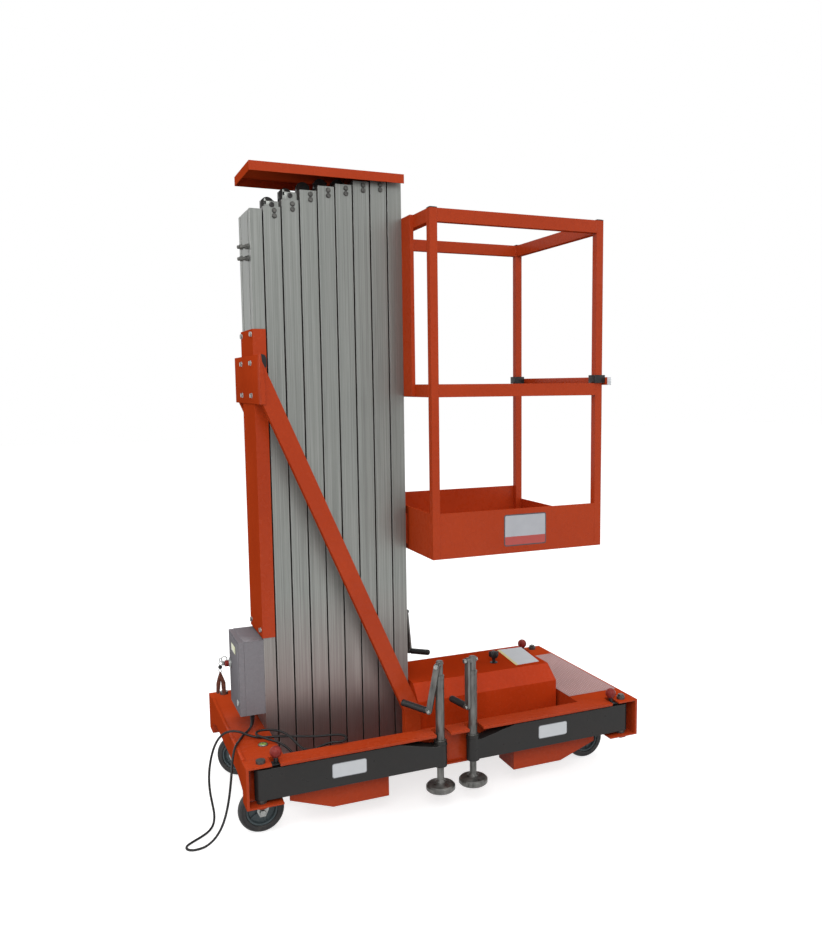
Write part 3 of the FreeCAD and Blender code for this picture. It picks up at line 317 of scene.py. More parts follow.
def placed(tree, group, **values):
    """One use of an effect in a material, with its own values."""
    node = tree.nodes.new("ShaderNodeGroup")
    node.node_tree = group
    for label, value in values.items():
        node.inputs[label.replace("_", " ")].default_value = value
    return node.outputs


rounded_edges, given, result = effect(
    "rounded_edges", {"Radius": 0.0015, "Relief Size": 300, "Relief Depth": 0.0001},
    {"Normal": "Vector", "Edge": "Float"})
tree = rounded_edges
bevel = add(tree, "Bevel", {"Radius": given["Radius"]}, samples=4).outputs["Normal"]
bump = add(tree, "Bump", {"Height": noise(tree, given["Relief Size"], 1.5), "Distance": given["Relief Depth"],
                          "Normal": bevel}).outputs["Normal"]
likeness = add(tree, "VectorMath", {0: bevel, 1: add(tree, "NewGeometry").outputs["Normal"]},
               operation="DOT_PRODUCT").outputs["Value"]
wire(result, Normal=bump, Edge=band(tree, likeness, 0.98, 0.75))

settled_dust, given, result = effect(
    "settled_dust", {"Amount": 0.3, "Low": 0, "High": 0.6, "Size": 9}, {"Mask": "Float"})
tree = settled_dust
up = add(tree, "SeparateXYZ", {"Vector": add(tree, "TexCoord").outputs["Normal"]}).outputs["Z"]
low_down = band(tree, parts_of_place(tree)["Z"], given["Low"], given["High"], 1, 0.25)
lying = maths(tree, "MULTIPLY", band(tree, up, -0.2, 0.9, 0.25, 1), low_down)
settled = maths(tree, "MULTIPLY", lying, band(tree, noise(tree, given["Size"], 6), 0.35, 0.75))
wire(result, Mask=maths(tree, "MULTIPLY", settled, given["Amount"]))

cloudy_tone, given, result = effect(
    "cloudy_tone", {"First": (1, 1, 1, 1), "Second": (0, 0, 0, 1), "Size": 6}, {"Color": "Color"})
tree = cloudy_tone
both = maths(tree, "ADD", noise(tree, given["Size"], 3), maths(tree, "MULTIPLY", noise(tree, 70, 4), 0.35))
wire(result, Color=tinted(tree, band(tree, both, 0.5, 0.85), given["First"], given["Second"]))


def sprayed_paint(name, colour, deep, worn, gloss=0.24, sheen=0.15, dust=0.08, edge=0.35):
    """Sprayed enamel on steel: uneven tone, thin edges lightened as worn paint and as a painted highlight, a faint
    orange-peel relief, and dust.
    """
    material, tree, shader = new_material(name)
    slant = add(tree, "LayerWeight", {"Blend": 0.5}).outputs["Facing"]
    tone = placed(tree, cloudy_tone, First=(*colour, 1), Second=(*deep, 1), Size=3)["Color"]
    edges = placed(tree, rounded_edges, Radius=0.0016, Relief_Size=420, Relief_Depth=0.00012)
    scratch = noise(tree, 45, 6)
    # Edges take the worn colour: partly real wear, partly a painted highlight where the rounded edges catch the
    # light.
    lightened_edges = maths(tree, "MULTIPLY", edges["Edge"], band(tree, scratch, 0.42, 0.62, 0.2 * edge, edge))
    grime = placed(tree, settled_dust, Amount=dust, High=0.7, Size=11)["Mask"]
    rough = maths(tree, "ADD", band(tree, scratch, 0.3, 0.7, gloss - 0.06, gloss + 0.08), grime)
    wire(shader, Base_Color=tinted(tree, grime, tinted(tree, lightened_edges, tone, worn), (0.25, 0.085, 0.05)),
         Specular_IOR_Level=band(tree, slant, 0.3, 0.66, sheen, 0), Roughness=rough, Normal=edges["Normal"])
    return material


def coat_nodes(material, *names):
    """Gives CAD nodes, whose shape is already right, their real finish."""
    for name in names:
        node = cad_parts[name]
        if not node.material_slots:
            node.data.materials.append(material)
        for slot in node.material_slots:
            slot.material = material


orange = sprayed_paint("orange_enamel", (0.45, 0.05, 0.0105), (0.395, 0.041, 0.0085), (0.58, 0.095, 0.03))
coat_nodes(orange, "side_rails", "end_frames", "mast_deck", "floor_pan", "cross_members", "skid_boxes",
           "wheel_seats")

zinc, tree, shader = new_material("zinc_plate", Metallic=1)
spangle = add(tree, "TexVoronoi", {"Vector": own_place(tree), "Scale": 220}).outputs["Color"]
edges = placed(tree, rounded_edges, Radius=0.0006, Relief_Size=600, Relief_Depth=0.00004)
wire(shader, Base_Color=tinted(tree, spangle, (0.2, 0.21, 0.205), (0.33, 0.34, 0.33)),
     Roughness=band(tree, spangle, 0, 1, 0.26, 0.42), Normal=edges["Normal"])


def hex_bolt(bm, at, along=(0, 0, 1), across=13, height=5.5, turn=0):
    """A bolt head and its washer standing out of a face, across and height in millimetres."""
    place, flat = facing(at, along, turn), across / sqrt(3)
    lathe(bm, [(0, -0.5), (0.62 * across, -0.5), (0.62 * across, 1.2), (0.6 * across, 1.6), (0, 1.6)], place, 24)
    lathe(bm, [(0, 1.4), (flat, 1.4), (flat, height), (0.86 * flat, height + 1.2), (0, height + 1.2)], place, 6)


def weld(bm, start, end, radius=0.0022):
    """A welding bead between two plates, with the ripples that the passes leave."""
    start, end = Vector(start), Vector(end)
    count = max(6, int((end - start).length / 0.0035))
    points = [start.lerp(end, k / count) for k in range(count + 1)]
    sleeve_along(bm, points, [radius * (1 if k % 2 else 0.78) for k in range(count + 1)], 8)


DECK_TOP = 0.262
for v in (-1, 1):
    for u in (-1, 1):
        weld(bm, (u * 0.5955, v * 0.2905, DECK_TOP), (u * 0.5955, v * 0.345, DECK_TOP), 0.0018)
        weld(bm, (u * 0.6615, 0, DECK_TOP - 0.0002), (u * 0.6615, v * 0.28, DECK_TOP - 0.0002), 0.0014)
        weld(bm, (u * 0.664, v * 0.2895, 0.15), (u * 0.664, v * 0.2895, 0.25))
        weld(bm, (u * 0.5, v * 0.2895, 0.1425), (u * 0.65, v * 0.2895, 0.1425), 0.0018)
    weld(bm, (-0.2, v * 0.28, 0.1415), (0.2, v * 0.28, 0.1415), 0.0018)
build("frame_welds", bm, orange, sharp=80)

slab(bm, (-0.67, -0.285, DECK_TOP - 0.001), (-0.66, 0.285, DECK_TOP + 0.004), 0.0019)
build("deck_rolled_lip", bm, orange)

for v in (-1, 1):
    for low, high in ((-0.57, -0.0815), (-0.0325, 0.0325), (0.0815, 0.57)):
        slab(bm, (low, v * 0.347 - 0.0028, DECK_TOP - 0.009), (high, v * 0.347 + 0.0028, DECK_TOP + 0.0004),
             0.0012)
build("rail_flange_folds", bm, orange)

LEVEL_AT, LEVEL_MM = (-0.589, -0.194, DECK_TOP), 15
lathe(bm, [(0, 0), (LEVEL_MM, 0), (LEVEL_MM, 3), (LEVEL_MM - 1.2, 4.2), (LEVEL_MM - 3, 4.2), (LEVEL_MM - 3, 3),
           (0, 3)], facing(LEVEL_AT), 40)
build("spirit_level_rim", bm, zinc)
vial, tree, shader = new_material("level_liquid", Roughness=0.08, Coat_Weight=0.6, Coat_Roughness=0.03)
to_middle, to_bubble = (add(tree, "VectorMath", {0: own_place(tree), 1: at}, operation="DISTANCE").outputs["Value"]
                        for at in (LEVEL_AT, (-0.5865, -0.1925, DECK_TOP + 0.004)))
off_ring = maths(tree, "ABSOLUTE", maths(tree, "SUBTRACT", to_middle, 0.0062), 0)
liquid = tinted(tree, band(tree, to_bubble, 0.0034, 0.004), (0.42, 0.52, 0.2), (0.2, 0.29, 0.05))
wire(shader, Base_Color=tinted(tree, band(tree, off_ring, 0.0003, 0.0006), (0.03, 0.05, 0.01), liquid))
lathe(bm, [(0, 2.8), (LEVEL_MM - 2.8, 2.8), (LEVEL_MM - 4, 4.6), (6, 5.8), (0, 6.2)], facing(LEVEL_AT), 40)
build("spirit_level_vial", bm, vial, sharp=60)

# Step plate
# A folded sheet of bright chequer plate on the entry end, tinted pink as a painted reflection.
# Its raised lugs stand in alternate directions, and their tops are rubbed bright by feet.

STEP_LOW, STEP_HIGH, STEP_TOP = (0.47, -0.23), (0.662, 0.23), 0.2635
STEP_SHEET_UNDER = 0.2615
LUG_PITCH, LUG_LENGTH, LUG_WIDTH, LUG_HEIGHT = 0.0105, 0.0086, 0.0032, 0.0012
tread, tree, shader = new_material("tread_painted_reflection", Metallic=0.35)
tread_mottle = noise(tree, 7, 6)
on_lug = band(tree, parts_of_place(tree)["Z"], STEP_TOP + 0.0003, STEP_TOP + 0.0011)
# The pink tint over the tread is a painted reflection.
pink_reflection_tone = tinted(tree, band(tree, tread_mottle, 0.35, 0.7), (0.28, 0.125, 0.115), (0.36, 0.19, 0.18))
edges = placed(tree, rounded_edges, Radius=0.0012, Relief_Size=500, Relief_Depth=0.0001)
wire(shader, Base_Color=tinted(tree, on_lug, pink_reflection_tone, (0.62, 0.47, 0.47)),
     Roughness=band(tree, tread_mottle, 0.3, 0.7, 0.3, 0.46), Normal=edges["Normal"])
coat_nodes(tread, "step_plate")
step_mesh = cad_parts["step_plate"].data
step_mesh.materials.append(orange)
for polygon in step_mesh.polygons:
    if polygon.center.z < STEP_SHEET_UNDER or abs(polygon.center.y) > STEP_HIGH[1]:
        polygon.material_index = len(step_mesh.materials) - 1

rows = int((STEP_HIGH[1] - STEP_LOW[1] - 0.008) / LUG_PITCH)
columns = int((STEP_HIGH[0] - STEP_LOW[0] - 0.004) / LUG_PITCH)
for row in range(rows):
    for column in range(columns):
        at = (STEP_LOW[0] + 0.01 + column * LUG_PITCH, STEP_LOW[1] + 0.012 + row * LUG_PITCH, STEP_TOP - 0.0002)
        turn = Matrix.Translation(at) @ Matrix.Rotation(radians(45 if (row + column) % 2 else -45), 4, "Z")
        loops = [[bm.verts.new(turn @ Vector((LUG_LENGTH / 2 * along * cos(a),
                                              LUG_WIDTH / 2 * across * sin(a), LUG_HEIGHT * up)))
                  for a in angles(8)] for across, along, up in ((1, 1, 0), (0.62, 0.78, 1))]
        skin(bm, loops)
        bm.faces.new(loops[1])
build("tread_lugs", bm, tread, sharp=70)

# Wheels
# Grey-black rubber tyres moulded on dark plastic hubs with five ribs, in pressed zinc forks. A nut closes
# each axle on both sides.

tyre_rubber, tree, shader = new_material("tyre_finish", Specular_IOR_Level=0.35)
scuff = noise(tree, 60, 6)
worn = tinted(tree, band(tree, scuff, 0.35, 0.75), (0.01, 0.011, 0.013), (0.034, 0.033, 0.033))
dust = placed(tree, settled_dust, Amount=0.5, High=0.2, Size=40)["Mask"]
wire(shader, Base_Color=tinted(tree, dust, worn, (0.14, 0.125, 0.11)),
     Roughness=band(tree, scuff, 0.3, 0.7, 0.48, 0.68), Normal=bumped(tree, scuff, 0.0004, 0.4))
hub_plastic = mottled("hub_finish", 120, 4, (0.04, 0.058, 0.064), (0.066, 0.09, 0.097), spread=(0.3, 0.7),
                      rough=(0.42, 0.55), relief=(0.0003, 0.3), Specular_IOR_Level=0.4)

WHEEL_MM, RIM_MM = 70, 48.2
half_tyre = [(RIM_MM, 0), (RIM_MM, 16.5), (50, 18), (59, 18), (59.8, 17.2), (60.6, 18), (63.5, 17.2), (66.5, 14.5),
             (68.6, 10), (69.7, 5), (WHEEL_MM, 0)]
half_hub = [(6.6, 16.4), (13, 16.4), (14.2, 15), (15, 8), (18.5, 4.6), (33, 4.2), (39, 5), (41, 7.8), (42, 13.8),
            (43.4, 14.8), (47, 14.8), (48, 13.8), (48, 0)]
tyre, hub = ([(radius, -across) for radius, across in half] + half[-2::-1] for half in (half_tyre, half_hub))
for kind, side, turn in (("castor", "near", 0), ("castor", "far", -35), ("rear", "near", 0), ("rear", "far", 0)):
    low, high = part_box(f"{kind}_tyre_{side}")
    axle = (Matrix.Translation((low + high) / 2) @ Matrix.Rotation(radians(turn), 4, "Z")
            @ Matrix.Rotation(pi / 2, 4, "X"))
    body = f"{kind}_wheel_{side}"
    lathe(bm, tyre, axle, 72)
    bmesh.ops.remove_doubles(bm, verts=bm.verts, dist=1e-6)
    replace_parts(build(f"{kind}_tread_{side}", bm, tyre_rubber, body), f"{kind}_tyre_{side}")
    lathe(bm, hub + hub[:1], axle, 72)
    for k in range(5):
        for face_side in (-1, 1):
            spoke = axle @ Matrix.Rotation(2 * pi * k / 5, 4, "Z")
            middle = face_side * 0.0062
            slab(bm, (0.015, -0.0028, middle - 0.0028), (0.041, 0.0028, middle + 0.0028), 0.001, spoke)
    bmesh.ops.remove_doubles(bm, verts=bm.verts, dist=1e-6)
    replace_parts(build(f"{kind}_rim_{side}", bm, hub_plastic, body), f"{kind}_hub_{side}")
    holder = f"castor_swivel_{side}" if kind == "castor" else "base"
    for face_side in (-1, 1):
        lathe(bm, [(0, 27.2), (9.8, 27.2), (9.8, 34.5), (8.5, 36), (0, 36)],
              axle @ Matrix.Rotation(0 if face_side > 0 else pi, 4, "X"), 6)
    build(f"{kind}_axle_nuts_{side}", bm, zinc, holder)
coat_nodes(zinc, "castor_fork_near", "castor_fork_far", "rear_forks")

# Mast
# Nine nested aluminium extrusions, left as they were drawn: satin grey with fine marks along them, with a painted
# ruddy reflection of the orange deck at the foot and painted highlights along their edges. Each moving one has a
# greasy sheave and two bolts at its top. Their inner faces, across the gaps between sections, are painted darker
# as shade.

COLUMN_LEFT, COLUMN_FACE, MAST_SIDE = -0.556, -0.5193, 0.088
SECTION_PITCH, SECTION_GAP = 0.0561, 0.0046
drawn_metal, given, result = effect(
    "drawn_metal", {"Light": (1, 1, 1, 1), "Dark": (0, 0, 0, 1), "Depth": 0.00005},
    {"Color": "Color", "Roughness": "Float", "Normal": "Vector"})
tree = drawn_metal
lines = noise(tree, 5, 2, (520, 520, 1.5))
stains = noise(tree, 5, 3, (60, 60, 0.25))
streaks = band(tree, maths(tree, "ADD", lines, stains), 0.62, 1.38)
soft = add(tree, "Bevel", {"Radius": 0.0012}, samples=4).outputs["Normal"]
bump = add(tree, "Bump", {"Height": lines, "Distance": given["Depth"], "Normal": soft}).outputs["Normal"]
wire(result, Color=tinted(tree, streaks, given["Dark"], given["Light"]),
     Roughness=band(tree, stains, 0.3, 0.7, 0.46, 0.34), Normal=bump)

aluminium, tree, shader = new_material("drawn_aluminium", Metallic=0.8, Specular_IOR_Level=0.4)
metal = placed(tree, drawn_metal, Light=(0.29, 0.301, 0.284, 1), Dark=(0.138, 0.146, 0.137, 1))
# The foot is tinted ruddy, fading out by 0.7 m: a painted reflection of the orange deck.
painted_deck_reflection = tinted(tree, band(tree, parts_of_place(tree)["Z"], 0.22, 0.7, 0.62, 0), metal["Color"],
               (0.24, 0.142, 0.136))
# The edges are lightened towards pale grey: a painted highlight.
rim = placed(tree, rounded_edges, Radius=0.0014, Relief_Depth=0)["Edge"]
wire(shader, Base_Color=tinted(tree, band(tree, rim, 0.1, 0.8, 0, 0.55), painted_deck_reflection, (0.52, 0.52, 0.5)),
     Roughness=metal["Roughness"], Normal=metal["Normal"])
coat_nodes(aluminium, "mast_column", *(f"mast_section_{k}" for k in range(1, 9)))

black_seal = mottled("sheave_black", 160, 4, (0.006, 0.006, 0.006), (0.03, 0.028, 0.026), rough=(0.3, 0.6),
                     Metallic=0.4)
dull_steel = mottled("dull_steel", 140, 4, (0.06, 0.06, 0.056), (0.12, 0.118, 0.11), spread=(0.35, 0.7),
                     rough=(0.34, 0.55), Metallic=0.6, Specular_IOR_Level=0.4)

SECTION_TOPS = (1.884, 1.907, 1.9395, 1.956, 1.966, 1.98, 1.986)
SHEAVE_PLATES = {1: (0.0156, 0.0047), 2: (0.0233, 0.0125)}
SHEAVE_SIDE, SHEAVE_DEPTH, SHEAVE_REACH = 0.02, 0.03, 0.052
for number, top in enumerate(SECTION_TOPS, 1):
    left = COLUMN_FACE + SECTION_GAP + (number - 1) * SECTION_PITCH
    body = f"mast_{number}"
    section_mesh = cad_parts[f"mast_section_{number}"].data
    section_mesh.materials.append(black_seal)
    section_mesh.materials.append(dull_steel)
    # Faces near the top middle are the black sheave. Faces across the gaps between nested sections take the darker
    # steel as painted shade in the gaps.
    for polygon in section_mesh.polygons:
        middle = polygon.center
        if middle.z > top - SHEAVE_DEPTH and abs(middle.y) < SHEAVE_SIDE and middle.x < left + SHEAVE_REACH:
            polygon.material_index = len(section_mesh.materials) - 2
        elif abs(polygon.normal.x) > 0.7 and abs(middle.y) < MAST_SIDE - 0.003:
            polygon.material_index = len(section_mesh.materials) - 1
    for side in (-1, 1):
        for drop in (0.0115, 0.0275):
            hex_bolt(bm, (left + 0.033, side * MAST_SIDE, top - drop), (0, side, 0), 12.5, 4.6, 0.3)
    build(f"section_bolts_{number}", bm, dull_steel, body)
    if number in SHEAVE_PLATES:
        rise, axle = SHEAVE_PLATES[number]
        for side in (-1, 1):
            outer, inner = side * (MAST_SIDE - 0.001), side * (MAST_SIDE - 0.0045)
            slab(bm, (left + 0.0035, outer, top - 0.0005), (left + 0.047, inner, top + rise), 0.0012)
            slab(bm, (left + 0.0035, outer, top + rise - 0.012), (left + 0.01, inner, top + rise + 0.006), 0.0012)
        build(f"sheave_plates_{number}", bm, aluminium, body)
        for side in (-1, 1):
            face = facing((left + 0.026, side * (MAST_SIDE - 0.0012), top + axle), (0, side, 0))
            lathe(bm, [(0, 0), (7.8, 0), (7.8, 2.2), (6.6, 3), (3, 3), (2.6, 1.6), (0, 1.6)], face, 28)
        build(f"sheave_axles_{number}", bm, black_seal, body)

for z in (1.768, 1.733):
    face = facing((COLUMN_LEFT, -0.048, z), (-1, 0.12, -0.1), 0.2)
    lathe(bm, [(0, -2), (9.2, -2), (9.2, 1.4), (0, 1.4)], face, 24)
    lathe(bm, [(0, 1), (8, 1), (8, 8.8), (7.2, 9.6), (0, 9.6)], face, 6)
    lathe(bm, [(0, 8), (5.2, 8), (5.2, 16), (9.4, 16), (9.4, 18.2), (7.6, 18.6), (7.6, 25), (5.2, 25.6), (5.6, 29),
               (4.4, 32), (0, 33)], face, 24)
build("column_stop_bolts", bm, dull_steel, sharp=30)

# Cap over the mast
# An inverted orange tray of folded sheet, carried by the last section. Its corner seams are welded, and
# four flat screws hold it down.

coat_nodes(orange, "mast_cap")
low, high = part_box("mast_cap")
for y in (-0.1172, 0.1172):
    weld(bm, (low.x + 0.0008, y, 1.98), (low.x + 0.0008, y, 2.0035), 0.0011)
build("cap_corner_welds", bm, orange, "carriage", sharp=80)
for x in (high.x - 0.034, high.x - 0.014):
    for y in (-0.06, 0.06):
        lathe(bm, [(0, -1.2), (6.8, -1.2), (6.6, -0.2), (4, 0), (0, 0)], facing((x, y, high.z)), 24)
build("cap_screws", bm, zinc, "carriage")

# Column sleeve, brace bracket and braces
# A folded orange channel round the column, bolted through its back, with a thin black sheet over the service
# hole on each side as painted shade inside the hole. The two arms of a yoke behind it take the heads of the flat
# braces.

coat_nodes(orange, "column_sleeve", "braces")


def prism(bm, place, outline, low, high):
    """A plate over an outline in a matrix's own XY plane, between two levels."""
    skin(bm, [[bm.verts.new(place @ Vector((x, y, z))) for x, y in outline] for z in (low, high)], closed=True)


def label(bm, place, width, height, radius, low, high, steps=6):
    """A thin plate with round corners about a matrix's own Z axis."""
    outline = []
    for u, v, start in ((1, 1, 0), (-1, 1, 1), (-1, -1, 2), (1, -1, 3)):
        for k in range(steps + 1):
            angle = (start + k / steps) * pi / 2
            outline.append((u * (width / 2 - radius) + radius * cos(angle),
                            v * (height / 2 - radius) + radius * sin(angle)))
    prism(bm, place, outline, low, high)


def on_side(x, y, z, v):
    """A plate's own axes on a near or far face: across, up, and out of the face."""
    return Matrix(((-v, 0, 0, x), (0, 0, v, y), (0, 1, 0, z), (0, 0, 0, 1)))


# A thin black oval over each service hole paints the shade inside the hole.
for side in (-1, 1):
    label(bm, on_side(-0.5347, side * 0.0955, 1.4222, side), 0.028, 0.045, 0.0138, -0.0002, 0.0006)
build("sleeve_hole_shade", bm, plastic)
low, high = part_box("brace_bracket")
slab(bm, low, (low.x + 0.004, high.y, high.z), 0.0008)
profile = ((low.x + 0.003, low.z), (high.x, low.z), (high.x, 1.35), (low.x + 0.006, high.z),
           (low.x + 0.003, high.z))
for side in (-1, 1):
    prism(bm, on_side(0, side * high.y, 0, side), [(-side * x, z) for x, z in profile], -0.004, 0)
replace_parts(build("brace_yoke", bm, orange), "brace_bracket")
for y in (-0.075, 0.075):
    for z in (1.418, 1.32):
        hex_bolt(bm, (low.x, y, z), (-1, 0, 0), turn=0.1)
low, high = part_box("column_sleeve")
for y, z in ((-0.075, 1.505), (0.075, 1.505), (-0.073, 0.587), (0.073, 0.587)):
    hex_bolt(bm, (low.x, y, z), (-1, 0, 0), turn=0.4)
build("column_bolts", bm, zinc)
low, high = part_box("braces")
for side in (-1, 1):
    for y in (0.1965, 0.1675):
        weld(bm, (high.x - 0.055, side * y, 0.142), (high.x, side * y, 0.142), 0.0022)
build("brace_foot_welds", bm, orange, sharp=80)

# Control box
# A pressed steel case in pale lilac-grey enamel, with a hinged door on its outer face. The door has a
# folded edge, a quarter-turn latch and a key switch, whose keys hang from a ring with leather tabs.

box_grey = sprayed_paint("box_enamel", (0.212, 0.203, 0.22), (0.184, 0.176, 0.19), (0.32, 0.31, 0.32),
                         gloss=0.26, sheen=0.3, dust=0.04, edge=0.5)
coat_nodes(box_grey, "control_box", "box_door")
DOOR_FACE = -0.6344
slab(bm, (DOOR_FACE - 0.0016, -0.078, 0.329), (DOOR_FACE + 0.001, 0.078, 0.549), 0.0013)
build("door_pressed_field", bm, box_grey, "control_door")
slab(bm, (-0.619, -0.0878, 0.5566), (-0.5562, 0.0878, 0.5592), 0.0011)
build("case_rain_lip", bm, box_grey)
latch = facing((DOOR_FACE - 0.0015, -0.066, 0.36), (-1, 0, 0))
lathe(bm, [(0, 0), (10.5, 0), (10.5, 2.2), (9.2, 3.6), (5, 3.6), (4.6, 2.4), (0, 2.4)], latch, 32)
slab(bm, (-0.0011, -0.0042, 0.002), (0.0011, 0.0042, 0.0034), 0.0004, latch)
build("door_latch", bm, zinc, "control_door")

blank_label = mottled("blank_label", 40, 3, (0.44, 0.46, 0.2), (0.52, 0.53, 0.28), Roughness=0.35,
                      Coat_Weight=0.25, Coat_Roughness=0.08)
slab(bm, (DOOR_FACE - 0.0022, -0.037, 0.506), (DOOR_FACE - 0.0014, 0.031, 0.53), 0.0003)
build("box_blank_label", bm, blank_label, "control_door")

KEY_AT = (DOOR_FACE - 0.0016, 0.06, 0.453)
key = facing(KEY_AT, (-1, 0, 0))
lathe(bm, [(0, 0), (17.5, 0), (17.5, 2.6), (16, 4.2), (11.2, 4.6), (10.6, 7.2), (0, 7.2)], key, 40)
slab(bm, (-0.0014, -0.006, 0.0186), (0.0014, 0.006, 0.0275), 0.0006, key)
build("key_switch", bm, zinc, "control_door")
red_plastic = mottled("red_moulding", 85, 4, (0.165, 0.016, 0.013), (0.25, 0.032, 0.026), spread=(0.3, 0.7),
                      rough=(0.28, 0.42), relief=(0.0003, 0.3), Specular_IOR_Level=0.15)
lathe(bm, [(0, 6.8), (9.4, 6.8), (10.2, 8), (10.2, 17.6), (9, 19.2), (0, 19.2)], key, 36)
build("key_switch_collar", bm, red_plastic, "control_door")


def hoop(bm, middle, normal, radius, wire_radius, steps):
    """A closed wire ring."""
    place, rings = facing(middle, normal), []
    for a in angles(steps):
        spoke = Vector((cos(a), sin(a), 0))
        rings.append([bm.verts.new(place @ (spoke * (radius + wire_radius * cos(b))
                                            + Vector((0, 0, wire_radius * sin(b))))) for b in angles(10)])
    skin(bm, rings + rings[:1])


RING_X, RING_Z = KEY_AT[0] - 0.0315, 0.466
for x, z, normal, radius, wire_radius, steps in (
        (0.011, 0.002, (0.15, 1, 0.1), 0.0088, 0.0015, 28), (0, 0, (0.9, 0.5, 0), 0.0062, 0.0014, 28),
        (-0.001, -0.011, (0.2, 1, 0), 0.0055, 0.0011, 20), (-0.003, -0.035, (0.9, 0.5, 0), 0.0065, 0.0012, 20)):
    hoop(bm, (RING_X + x, KEY_AT[1], RING_Z + z), normal, radius, wire_radius, steps)
build("key_ring_chain", bm, zinc, "control_door")

leather, tree, shader = new_material("tab_leather", Roughness=0.55, Specular_IOR_Level=0.35)
hide = add(tree, "TexVoronoi", {"Vector": own_place(tree), "Scale": 800}).outputs["Distance"]
worn = band(tree, noise(tree, 90, 4), 0.35, 0.7)
wire(shader, Base_Color=tinted(tree, worn, (0.085, 0.022, 0.012), (0.165, 0.052, 0.028)),
     Normal=bumped(tree, hide, 0.0004, 0.5))
for turn, y, line in ((-1, -0.0013, ((-0.6705, 0.427, 0.0024), (-0.6745, 0.409, 0.0052), (-0.6775, 0.39, 0.007),
                                     (-0.68, 0.36, 0.0055), (-0.6803, 0.356, 0.0035))),
                      (1, 0.0013, ((-0.6705, 0.427, 0.0024), (-0.666, 0.408, 0.0052), (-0.6615, 0.389, 0.0072),
                                   (-0.6602, 0.352, 0.0062), (-0.66, 0.347, 0.0038)))):
    rings = [[bm.verts.new((x + half * cos(a), KEY_AT[1] + y + turn * 0.0012 * sin(a), z))
              for a in angles(16)] for x, z, half in line]
    skin(bm, rings, closed=True)
build("key_leather_tabs", bm, leather, "control_door", sharp=60)
lathe(bm, [(0, -6.8), (4, -5.6), (6.4, -2.2), (6.4, 2.2), (4, 5.6), (0, 6.8)],
      facing((RING_X - 0.0022, KEY_AT[1], 0.443)), 24)
build("key_chain_bead", bm, plastic, "control_door", sharp=80)

# Power cover and unit
# An orange hood folded with sloping shoulders, held down by one black star knob. A blank instruction
# plate with a yellow edge lies on its top, near the step. The pump unit underneath is black cast metal.

# The hood's orange is a brighter, more saturated copy of the frame's orange, as painted light on the hood.
hood_paint = sprayed_paint("hood_enamel", (0.52, 0.046, 0.0075), (0.465, 0.039, 0.0062), (0.6, 0.095, 0.03))
coat_nodes(hood_paint, "power_cover")
unit_iron = mottled("unit_casting", 180, 6, (0.015, 0.015, 0.016), (0.05, 0.05, 0.05), rough=(0.5, 0.75),
                    relief=(0.0008, 0.6), Metallic=0.5)
coat_nodes(unit_iron, "power_unit")
COVER_TOP = 0.354
low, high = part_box("cover_knob")
KNOB_AT = ((low.x + high.x) / 2, (low.y + high.y) / 2, low.z)
lathe(bm, [(0, 0), (10.5, 0), (10.5, 2), (6.2, 2.4), (5.6, 12), (9, 21), (0, 21)], facing(KNOB_AT), 32)
skin(bm, [ring_of(bm, Matrix.Translation(KNOB_AT), lambda a: (0.0148 + 0.0036 * cos(5 * a)) * scale, height, 80)
          for scale, height in ((0.5, 0.018), (0.82, 0.02), (1, 0.0235), (1, 0.037), (0.9, 0.0402), (0.5, 0.0418))],
     closed=True)
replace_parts(build("cover_star_knob", bm, plastic, sharp=50), "cover_knob")

lathe(bm, [(5.8, 0.2), (13.5, 0.2), (14, 1.2), (13.2, 2.2), (5.8, 2.2), (5.8, 0.2)], facing(KNOB_AT), 32)
build("cover_knob_washer", bm, plastic)

PLATE_CORNERS = ((0.351, 0.097), (0.45, 0.092), (0.428, -0.088), (0.332, -0.093))
cover_sign, tree, shader = new_material("cover_plate_print", Roughness=0.3, Coat_Weight=0.3, Coat_Roughness=0.06)
pale = tinted(tree, noise(tree, 30, 4), (0.4, 0.45, 0.5), (0.52, 0.55, 0.58))
parts = parts_of_place(tree)
along = maths(tree, "SUBTRACT", parts["X"], maths(tree, "MULTIPLY", parts["Y"], 0.108))
wire(shader, Base_Color=tinted(tree, band(tree, along, 0.3505, 0.3515), (0.6, 0.5, 0.06), pale))
prism(bm, Matrix(), PLATE_CORNERS, COVER_TOP - 0.0002, COVER_TOP + 0.001)
build("cover_blank_plate", bm, cover_sign)

# Outriggers
# Four tapered box-section arms in charcoal enamel, folded in along the rails. Each has a welded sleeve for
# its jack and turns on a bolt through the frame's corner. The plates on their faces are left blank.

# Its strong pale edge colour is a painted highlight along the arms' top edges, as well as wear.
charcoal = sprayed_paint("charcoal_enamel", (0.021, 0.0208, 0.0204), (0.0172, 0.017, 0.0166), (0.26, 0.25, 0.235),
                         gloss=0.32, sheen=0.22, dust=0.05, edge=0.75)
CORNERS = [(end, side, u, v) for end, u in (("left", -1), ("right", 1)) for side, v in (("near", -1), ("far", 1))]
coat_nodes(charcoal, *(f"outrigger_{end}_{side}" for end, side, u, v in CORNERS))
coat_nodes(dull_steel, "arm_pivots")

